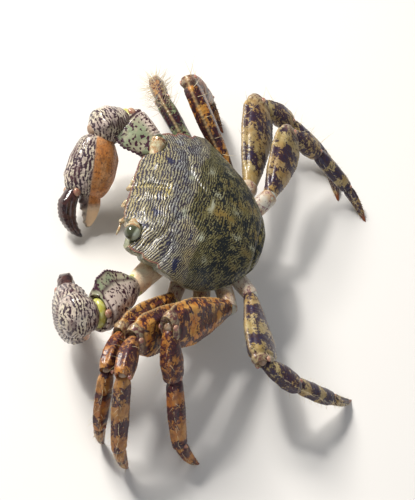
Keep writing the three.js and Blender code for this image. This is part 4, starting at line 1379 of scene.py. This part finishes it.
def on_shield(values):
    """A mark of the top, with 0 on walls and floor, carried on down the front wall."""
    values = np.concatenate([values, np.zeros((RING_COUNT, sides_total - TOP_COUNT))], 1)
    return np.concatenate([np.repeat(values[:1], extra, 0), values])


top_marks = {"stria": stria, "dark": ink_mark, "pale": pale_mark, "rear": rear_mark, "slate_and_sheen": slate_and_sheen_mark,
             "yellow": yellow_mark * 0.85, "line": line_mark, "edge": edge_mark}
shield_marks = {key: on_shield(values) for key, values in top_marks.items()}
is_wall = np.zeros(shield.shape[:2], int)
is_wall[:, TOP_COUNT - 1:sides_total - 1] = 1
is_wall[:extra] = 1
back = skin("back_plate", stand(shield), [BACK, WALL], np.linspace(0, 28, len(shield)), shield_marks, is_wall)
finish_piece(back, "carapace")
print("back plate faces", len(back.data.polygons))

# %% [markdown]
# ## Underside, mouth and tail flap
# Seen from below a crab is a breastplate of fused bands with a trough down the middle, in which
# the folded tail lies. In front a pair of hinged shields closes the mouth.

# %% Breastplate
# Distance forwards, half width above, half width below, depth.
UNDER = [(12.4, 6, 4.5, -7.6), (11, 9.5, 6.5, -9.6), (7.5, 11.5, 8, -11.6), (3, 12.4, 9, -13), (-3, 12.4, 9, -13.4),
         (-8, 10.4, 7, -12.4), (-11.2, 7.6, 5, -10), (-12.8, 5.4, 3.6, -8)]
UNDER_RINGS, UNDER_HALF = 150, 60  # rings, and points on one half of a ring
BAND_PLACES = (8.0, 4.6, 1.2, -2.4, -6.0, -9.4)
under_forward = np.linspace(UNDER[0][0], UNDER[-1][0], UNDER_RINGS)
under_places, *under_columns = np.array(UNDER)[::-1].T
under_top, under_low, under_depth = (np.interp(under_forward, under_places, column) for column in under_columns)
roof = CARAPACE_FLOOR - 0.1
corner = np.linspace(0, 1, UNDER_HALF)
profile_x = np.interp(corner, [0, 0.12, 0.5, 0.72, 0.85, 1], [0, 0.95, 1.0, 0.9, 0.7, 0])
profile_z = np.interp(corner, [0, 0.05, 0.15, 0.5, 0.85, 1], [0, 0, 0.12, 0.55, 1, 1])
kernel = np.hanning(9) / np.hanning(9).sum()
profile_x[4:-4] = np.convolve(profile_x, kernel, mode="valid")
profile_z[4:-4] = np.convolve(profile_z, kernel, mode="valid")
narrowing = 1 - (1 - under_low / under_top)[:, None] * profile_z[None] ** 2
half_x = under_top[:, None] * profile_x[None] * narrowing
half_z = roof + (under_depth - roof)[:, None] * profile_z[None]
right_half = np.stack([half_x, np.repeat(-under_forward[:, None], UNDER_HALF, 1), half_z], -1)
left_half = right_half[:, ::-1] * np.array([-1, 1, 1])
breast = np.concatenate([right_half, left_half], 1)
breast_left, breast_forward = breast[..., 0], -breast[..., 1]
bands = sum(np.exp(-((breast_forward - at - 0.10 * np.abs(breast_left)) / 0.28) ** 2) for at in BAND_PLACES)
trough = np.exp(-(breast_left / 2.6) ** 2) * step(4.5, 2.0, breast_forward) * step(-8, -10.5, breast[..., 2])
breast_height = 0.08 * noise(breast, 1.6, 41) - 0.32 * bands * step(1.5, 3.0, np.abs(breast_left)) - 0.45 * trough
breast = breast + outward(breast) * breast_height[..., None]
piece = skin("breastplate", stand(breast), [BELLY], np.linspace(0, 25, len(breast)))
finish_piece(piece, "underbody")
print("breastplate faces", len(piece.data.polygons))

# %% Tail flap: narrow overlapping bands
FLAP = [(2.5, 0.8), (0, 1.6), (-3, 2.4), (-6, 3.2), (-9, 3.6), (-11, 3.4)]
FLAP_FRONT, FLAP_REAR, FLAP_BAND = 2.6, -11.0, 2.25
FLAP_RINGS, FLAP_SIDES = 110, 48
flap_forward = np.linspace(FLAP_FRONT, FLAP_REAR, FLAP_RINGS)
flap_half = np.interp(flap_forward, *np.array(FLAP)[::-1].T)
flap_turn = 2 * np.pi * np.arange(FLAP_SIDES) / FLAP_SIDES
climb = np.maximum(-(flap_forward + 3), 0) * 0.42
band_rise = 0.28 * (1 - np.mod((flap_forward - FLAP_REAR) / FLAP_BAND, 1.0))
flap_x = flap_half[:, None] * np.sin(flap_turn)[None]
flap_z = STERNUM_FLOOR - 0.45 + climb[:, None] + (0.35 + band_rise)[:, None] * np.cos(flap_turn)[None]
flap = np.stack([flap_x, np.repeat(-flap_forward[:, None], FLAP_SIDES, 1), flap_z], -1)
piece = skin("tail_flap", stand(flap), [BELLY], np.linspace(0, 14, len(flap)))
finish_piece(piece, "abdomen")
print("tail flap faces", len(piece.data.polygons))

# %% Mouth shields: two long plates side by side with a short palp each
# Each tube: from and to on the left side, widths, and points round it.
MOUTH_TUBES = [
    ((2.1, -12.9, -5.6), (1.9, -11.6, -9.0),
     [[0, 1.9, 1.8, 0.6], [0.3, 2.0, 1.8, 0.75], [0.8, 2.0, 1.7, 0.75], [1, 1.7, 1.5, 0.6]], 40),
    ((2.0, -11.7, -8.9), (1.5, -10.9, -11.6),
     [[0, 1.8, 1.5, 0.6], [0.4, 1.9, 1.5, 0.75], [0.8, 1.4, 1.2, 0.7], [1, 0.9, 0.9, 0.5]], 40),
    ((4.0, -12.4, -6.4), (3.6, -11.2, -10.2),
     [[0, 0.45, 0.45, 0.5], [0.5, 0.5, 0.5, 0.55], [1, 0.3, 0.3, 0.4]], 24),
]
tubes = []
for sign in (1, -1):
    mirror = np.array([sign, 1, 1])
    for start, end, widths, sides in MOUTH_TUBES:
        tube = limb(start * mirror, end * mirror, (sign, 0, 0), widths, sides=sides, spacing=0.2, tip=0.5)
        tubes.append(tube["rings"])
points, faces, normals = melt(tubes, 0.14, 2)
points = points + normals * (0.05 * noise(points, 0.8, 45))[:, None]
piece = plain_skin("mouth_shields", stand(points), faces, BELLY, {})
finish_piece(piece, "maxillipeds")
print("mouth shield faces", len(faces))

# %% [markdown]
# ## Eyes and feelers
# Each eye is a glossy ball on a short thick stalk, which lies in its notch at the front corner.
# The feelers are short in this family: three stout joints and a thin whip of rings.

# %% Eye finish: dark above, paler below, under a clear wet dome
FACET_MM = 0.09


def eye_finish():
    """A compound eye: tiny cells of dark green, and an amber stem."""
    material, tree, shader = new_finish("eye_glass")
    facets = node(tree, "ShaderNodeTexVoronoi", out="Distance", Vector=place_of(tree), Scale=1.0 / (FACET_MM * MM))
    deep = two_tones(tree, facets, 0.1, 0.5, (0.020, 0.025, 0.012), (0.055, 0.060, 0.030))
    paint = blend(tree, mark(tree, "low"), deep, colour(0.42, 0.46, 0.34))
    mottle = cloud(tree, place_of(tree, 0.5), 0.5, 3)
    amber = two_tones(tree, mottle, 0.42, 0.58, (0.46, 0.33, 0.17), (0.16, 0.07, 0.035))
    paint = blend(tree, mark(tree, "stem"), paint, amber)
    wet(tree, shader, paint, 0.12, coat=1.0)
    shader.inputs["Coat Roughness"].default_value = 0.03
    return material


EYE_GLASS = eye_finish()
print("eye finish nodes", len(EYE_GLASS.node_tree.nodes))


# %% Oval balls, for eyes, soft skins and knobs
POLE_GAP = 0.06  # a ball's first and last ring are this angle from its poles


def ball(centre, axes, radii, sides=48, count=32):
    """Rings of an oval ball along its first axis."""
    angle = np.linspace(POLE_GAP, np.pi - POLE_GAP, count)
    turn_round = 2 * np.pi * np.arange(sides) / sides
    first, second, third = (np.array(axis, float) for axis in axes)
    ring_far = -np.cos(angle)[:, None, None] * radii[0] * first
    ring_wide = np.cos(turn_round)[None, :, None] * radii[1] * second
    ring_wide = ring_wide + np.sin(turn_round)[None, :, None] * radii[2] * third
    return np.array(centre, float) + ring_far + np.sin(angle)[:, None, None] * ring_wide


print("height of a unit ball", round(float(np.ptp(ball((0, 0, 0), np.eye(3), (1, 1, 1))[..., 0])), 3))

# %% Eyes and their stalks
EYE_BALL, EYE_ROOT, EYE_RADIUS = (11.6, -12.0, -0.4), (8.8, -11.8, -1.4), 1.55
STALK_WIDTHS = [[0, 1.1, 1.1, 1.1], [0.4, 1.15, 1.2, 1.15], [0.75, 1.45, 1.5, 1.45], [0.9, 1.5, 1.5, 1.5]]
STEM_EDGES = {"l": (0.0, -0.18), "r": (0.42, 0.25)}  # how far the stem reaches round the ball
for side, sign in (("l", 1), ("r", -1)):
    mirror = np.array([sign, 1, 1])
    centre, root = EYE_BALL * mirror, EYE_ROOT * mirror
    axis = unit(centre - root)
    second = unit(np.cross((0, 0, 1.0), axis))
    radii = (EYE_RADIUS * 1.04, EYE_RADIUS, EYE_RADIUS * 0.98)
    rings = stand(ball(centre, (axis, second, np.cross(axis, second)), radii, 64, 44))
    out = (rings - stand(centre[None])) / EYE_RADIUS
    marks = {"low": 0.9 * step(0.3, 0.6, out @ unit((0.3 * sign, 0.9, 0.15))),
             "stem": step(*STEM_EDGES[side], out @ stand_turn(axis))}
    finish_piece(skin(f"eyeball_{side}", rings, [EYE_GLASS], None, marks), f"eye_{side}")
    stalk = limb(root - axis * 0.8, centre, (0, 0, 1), STALK_WIDTHS, sides=56, spacing=0.12)
    raise_relief(stalk, grain(stalk["rings"], 0.8, 0.10, 61))
    piece = skin(f"eye_stem_{side}", stand(stalk["rings"]), [STALK_FINISH])
    finish_piece(piece, f"eyestalk_{side}")
print("eyes", 2, "points in each", rings.shape[0] * rings.shape[1])

# %% Feelers
FEELER_WIDTHS = [[0, 0.55, 0.55, 0.55], [0.5, 0.66, 0.66, 0.62], [1, 0.5, 0.5, 0.5]]
WHIP_WIDTHS = [[0, 0.3, 0.3, 0.3], [0.5, 0.26, 0.26, 0.26], [1, 0.14, 0.14, 0.14]]
FEELER_JOINTS = ((-0.15, 0.14, 1.1), (0.12, 0.26, 0.9), (0.24, 0.36, 0.72))  # from, to, thickness
WHIP_START, WHIP_RINGS = 0.32, 11
for side, sign in (("l", 1), ("r", -1)):
    root, tip = np.array([sign * 5.0, -13.2, -6.9]), np.array([sign * 7.4, -13.2, -8.8])
    line = tip - root
    tubes = []
    for low_share, high_share, size in FEELER_JOINTS:
        joint = limb(root + line * low_share, root + line * high_share, (0, 0, 1), sized(FEELER_WIDTHS, size),
                     sides=28, spacing=0.08)
        tubes.append(joint["rings"])
    whip = limb(root + line * WHIP_START, tip, (0, 0, 1), WHIP_WIDTHS, bow=0.5, sides=16, spacing=0.06, tip=0.5)
    raise_relief(whip, 0.05 * np.cos(2 * np.pi * whip["place"] * WHIP_RINGS))
    tubes.append(whip["rings"])
    # The short inner feeler: a stout joint and a thin one, folded back.
    low, bend, high = (sign * 1.6, -13.6, -4.4), (sign * 2.3, -14.0, -6.3), (sign * 3.0, -13.9, -4.9)
    stout = limb(low, bend, (0, -1, 0), sized(FEELER_WIDTHS, 0.9), sides=24, spacing=0.1)
    thin = limb((bend[0], bend[1], -6.2), high, (0, -1, 0), [[0, 0.4, 0.4, 0.4], [1, 0.2, 0.2, 0.2]],
                sides=20, spacing=0.1, tip=0.5)
    points, faces, normals = melt(tubes + [stout["rings"], thin["rings"]], 0.075, 1)
    piece = plain_skin(f"feeler_{side}", stand(points), faces, STALK_FINISH, {})
    finish_piece(piece, f"antenna_{side}")
print("feeler faces", len(faces))

# %% [markdown]
# ## Soft skin and joint knobs
# Between two plates a crab has only soft skin, white or yellow, which shows where a joint opens.
# A hard knob on each side of a knee is the hinge. Both are small ovals set into the joints.


# %% Many closed skins in one mesh
def many_skins(name, stacks, finish):
    """Joins closed stacks into one piece that rides with the body."""
    points, faces = join_stacks(stacks)
    piece = plain_skin(name, points, faces, finish, {})
    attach(piece, "root")
    print(name, "stacks", len(stacks), "faces", len(faces))


# %% Skins and knobs of the legs
SKIN_RADII = (2.3, 1.8, 1.2, 1.1, 0.9)  # of the soft skin in each joint of a leg
LEG_KNOBS = ((2, 1.55, 0.72), (3, 1.35, 0.55), (4, 1.1, 0.45))  # joint, how far out, radius
white, knee, yellow, knobs = [], [], [], []
for leg, (size, joints) in LEGS.items():
    at, bend = leg_frame(joints)
    for joint, radius in enumerate(np.array(SKIN_RADII)):
        along = unit(at[joint + 1] - at[joint])
        axes = (along, unit(np.cross(along, bend)), bend)
        stack = ball(at[joint], axes, (radius * size, radius * size, radius * 0.8 * size), 24, 14)
        is_yellow = joint == 1 and leg in ("leg2_l", "leg3_l")
        (yellow if is_yellow else knee if joint > 1 else white).append(stack)
    for joint, out, radius in LEG_KNOBS:
        along = unit(at[joint] - at[joint - 1])
        for outwards in (bend, -bend):
            where = at[joint] + along * 0.35 + outwards * out * size
            axes = (outwards, along, np.cross(outwards, along))
            knobs.append(ball(where, axes, (0.42 * size, radius * size, radius * 0.85 * size), 20, 12))
print("leg skins", len(white), len(knee), len(yellow), "knobs", len(knobs))

# %% Skins and knobs of the claws
CLAW_SKIN_RADII = ((2.4, 2.8, 2.5), (1.5, 2.3, 1.8), (1.5, 2.85, 2.15), (1.1, 1.5, 1.3))
CLAW_KNOB_RADII = (0.5, 0.9, 0.8)


def knob_pair(at, line, across_line, out, forwards):
    """Two knobs on either side of a hinge."""
    for outwards in (across_line, -across_line):
        axes = (outwards, line, np.cross(outwards, line))
        knobs.append(ball(at + outwards * out + line * forwards, axes, CLAW_KNOB_RADII, 24, 14))


for claw, build in CLAWS.items():
    arm = [np.array(joint, float) for joint in build["arm"]]
    blade, back_way = np.array(build["blade"], float), np.array(build["back"], float)
    for joint, (radii, kind) in enumerate(zip(CLAW_SKIN_RADII, (white, yellow, yellow, knee))):
        if joint == 3 and build["inner"] > 0:
            continue  # the left wrist is closed over its hand
        along = unit(arm[min(joint + 1, 3)] - arm[min(joint, 2)])
        tall = unit(blade - along * np.dot(blade, along))
        kind.append(ball(arm[joint], (along, tall, np.cross(along, tall)), radii, 32, 20))
    root = np.array(build["finger"][0], float)
    line = unit(np.array(build["finger"][1]) - root)
    tall = unit(back_way - line * np.dot(back_way, line))
    knob_pair(root, line, np.cross(line, tall), 1.75, 0.1)
    wrist_line = unit(arm[2] - arm[1])
    knob_pair(arm[2], wrist_line, unit(np.cross(wrist_line, blade)), 2.5, 0.4)
many_skins("joint_skin_white", white, SKIN_WHITE)
many_skins("joint_skin_knee", knee, SKIN_KNEE)
many_skins("joint_skin_yellow", yellow, SKIN_YELLOW)
many_skins("joint_knobs", knobs, KNOB)

# %% [markdown]
# ## Bristles
# Stiff pale bristles stand in rows on the shanks and feet, and a tuft grows on the second right
# leg. Thousands of like things are a job for Geometry Nodes: a mesh of root points carries the
# direction and the length, and one small tree sets a bent spike on each.

# %% The tree
MAP_PATCH = 0.0015  # size of one bristle's patch on the bake map


def bristle_tree():
    """Sets a bent spike on every root: aim, sweep, length and map place come from the root's attributes."""
    tree = bpy.data.node_groups.new("bristles", "GeometryNodeTree")
    face = tree.interface
    face.new_socket("Roots", in_out="INPUT", socket_type="NodeSocketGeometry")
    for name, default in (("Thickness", 0.00004), ("Bend", 0.25)):
        face.new_socket(name, in_out="INPUT", socket_type="NodeSocketFloat").default_value = default
    face.new_socket("Finish", in_out="INPUT", socket_type="NodeSocketMaterial")
    face.new_socket("Bristles", in_out="OUTPUT", socket_type="NodeSocketGeometry")
    inlet = tree.nodes.new("NodeGroupInput")
    outlet = tree.nodes.new("NodeGroupOutput")

    def named(kind, name):
        return node(tree, "GeometryNodeInputNamedAttribute", out="Attribute", props={"data_type": kind}, Name=name)

    spike = node(tree, "GeometryNodeMeshCone", out="Mesh", Vertices=5, Side_Segments=5, Fill_Segments=1,
                 Radius_Top=0.12, Radius_Bottom=1.0, Depth=1.0)
    where = node(tree, "GeometryNodeInputPosition", out="Position")
    spike = node(tree, "GeometryNodeStoreNamedAttribute", props={"data_type": "FLOAT_VECTOR", "domain": "POINT"},
                 Geometry=spike, Name="spike_place", Value=where)
    placed = tree.nodes.new("GeometryNodeInstanceOnPoints")
    tree.links.new(inlet.outputs["Roots"], placed.inputs["Points"])
    tree.links.new(spike, placed.inputs["Instance"])
    turned = node(tree, "FunctionNodeAlignRotationToVector", props={"axis": "Z"}, Vector=named("FLOAT_VECTOR", "aim"))
    tree.links.new(turned, placed.inputs["Rotation"])
    size = tree.nodes.new("ShaderNodeCombineXYZ")
    tree.links.new(inlet.outputs["Thickness"], size.inputs[0])
    tree.links.new(inlet.outputs["Thickness"], size.inputs[1])
    tree.links.new(named("FLOAT", "long"), size.inputs[2])
    tree.links.new(size.outputs[0], placed.inputs["Scale"])
    real = node(tree, "GeometryNodeRealizeInstances", Geometry=placed.outputs[0])
    # Bend each spike the way its root says, more towards the tip.
    lift = node(tree, "ShaderNodeSeparateXYZ", out="Z", Vector=named("FLOAT_VECTOR", "spike_place"))
    lift = node(tree, "ShaderNodeMath", props={"operation": "MULTIPLY"}, i0=lift, i1=lift)
    lift = node(tree, "ShaderNodeMath", props={"operation": "MULTIPLY"}, i0=lift, i1=inlet.outputs["Bend"])
    lift = node(tree, "ShaderNodeMath", props={"operation": "MULTIPLY"}, i0=lift, i1=named("FLOAT", "long"))
    push = node(tree, "ShaderNodeVectorMath", props={"operation": "SCALE"}, i0=named("FLOAT_VECTOR", "sweep"), Scale=lift)
    bent = node(tree, "GeometryNodeSetPosition", Geometry=real, Offset=push)
    # A patch of the bake map for each bristle, at its root's place on the unrolled limb.
    patch = node(tree, "ShaderNodeVectorMath", props={"operation": "SCALE"}, i0=named("FLOAT_VECTOR", "spike_place"),
                 Scale=MAP_PATCH)
    patch = node(tree, "ShaderNodeVectorMath", props={"operation": "ADD"}, i0=patch, i1=named("FLOAT_VECTOR", "root_map"))
    mapped = node(tree, "GeometryNodeStoreNamedAttribute", props={"data_type": "FLOAT2", "domain": "CORNER"},
                  Geometry=bent, Name="OFBake", Value=patch)
    painted = node(tree, "GeometryNodeSetMaterial", Geometry=mapped, Material=inlet.outputs["Finish"])
    tree.links.new(painted, outlet.inputs[0])
    return tree


BRISTLES = bristle_tree()
SOCKETS = {item.name: item.identifier for item in BRISTLES.interface.items_tree if item.in_out == "INPUT"}
print("inputs of the tree", SOCKETS)


# %% Grow each kind of bristle
def grow(name, roots, thickness_mm, bend, finish):
    """Turns a list of roots, in millimetres, into one plain mesh of spikes."""
    place, aim, sweep, long, root_map = (np.array(column, float) for column in zip(*roots))
    mesh = bpy.data.meshes.new(name + "_roots")
    mesh.from_pydata(((place - CENTRE) * MM).tolist(), [], [])
    for key, values in (("aim", aim), ("sweep", sweep), ("root_map", root_map)):
        mesh.attributes.new(key, "FLOAT_VECTOR", "POINT").data.foreach_set("vector", values.astype(np.float32).ravel())
    mesh.attributes.new("long", "FLOAT", "POINT").data.foreach_set("value", (long * MM).astype(np.float32))
    rooted = bpy.data.objects.new(name + "_roots", mesh)
    bpy.context.scene.collection.objects.link(rooted)
    growing = rooted.modifiers.new("bristles", "NODES")
    growing.node_group = BRISTLES
    growing[SOCKETS["Thickness"]] = thickness_mm * MM
    growing[SOCKETS["Bend"]] = bend
    growing[SOCKETS["Finish"]] = finish
    depsgraph = bpy.context.evaluated_depsgraph_get()
    grown = bpy.data.meshes.new_from_object(rooted.evaluated_get(depsgraph), depsgraph=depsgraph)
    bpy.data.objects.remove(rooted)
    piece = bpy.data.objects.new(name, grown)
    grown.name = name
    bpy.context.scene.collection.objects.link(piece)
    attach(piece, "root")
    print(name, "spikes", len(roots), "faces", len(grown.polygons), "maps", [uv.name for uv in grown.uv_layers])


grow("bristles", bristle_roots, 0.032, 0.22, BRISTLE)
grow("long_hairs", long_roots, 0.06, 0.12, BRISTLE)
grow("tuft", tuft_roots, 0.045, 0.18, BRISTLE)
grow("foot_spines", spine_roots, 0.07, 0.1, SPINE)
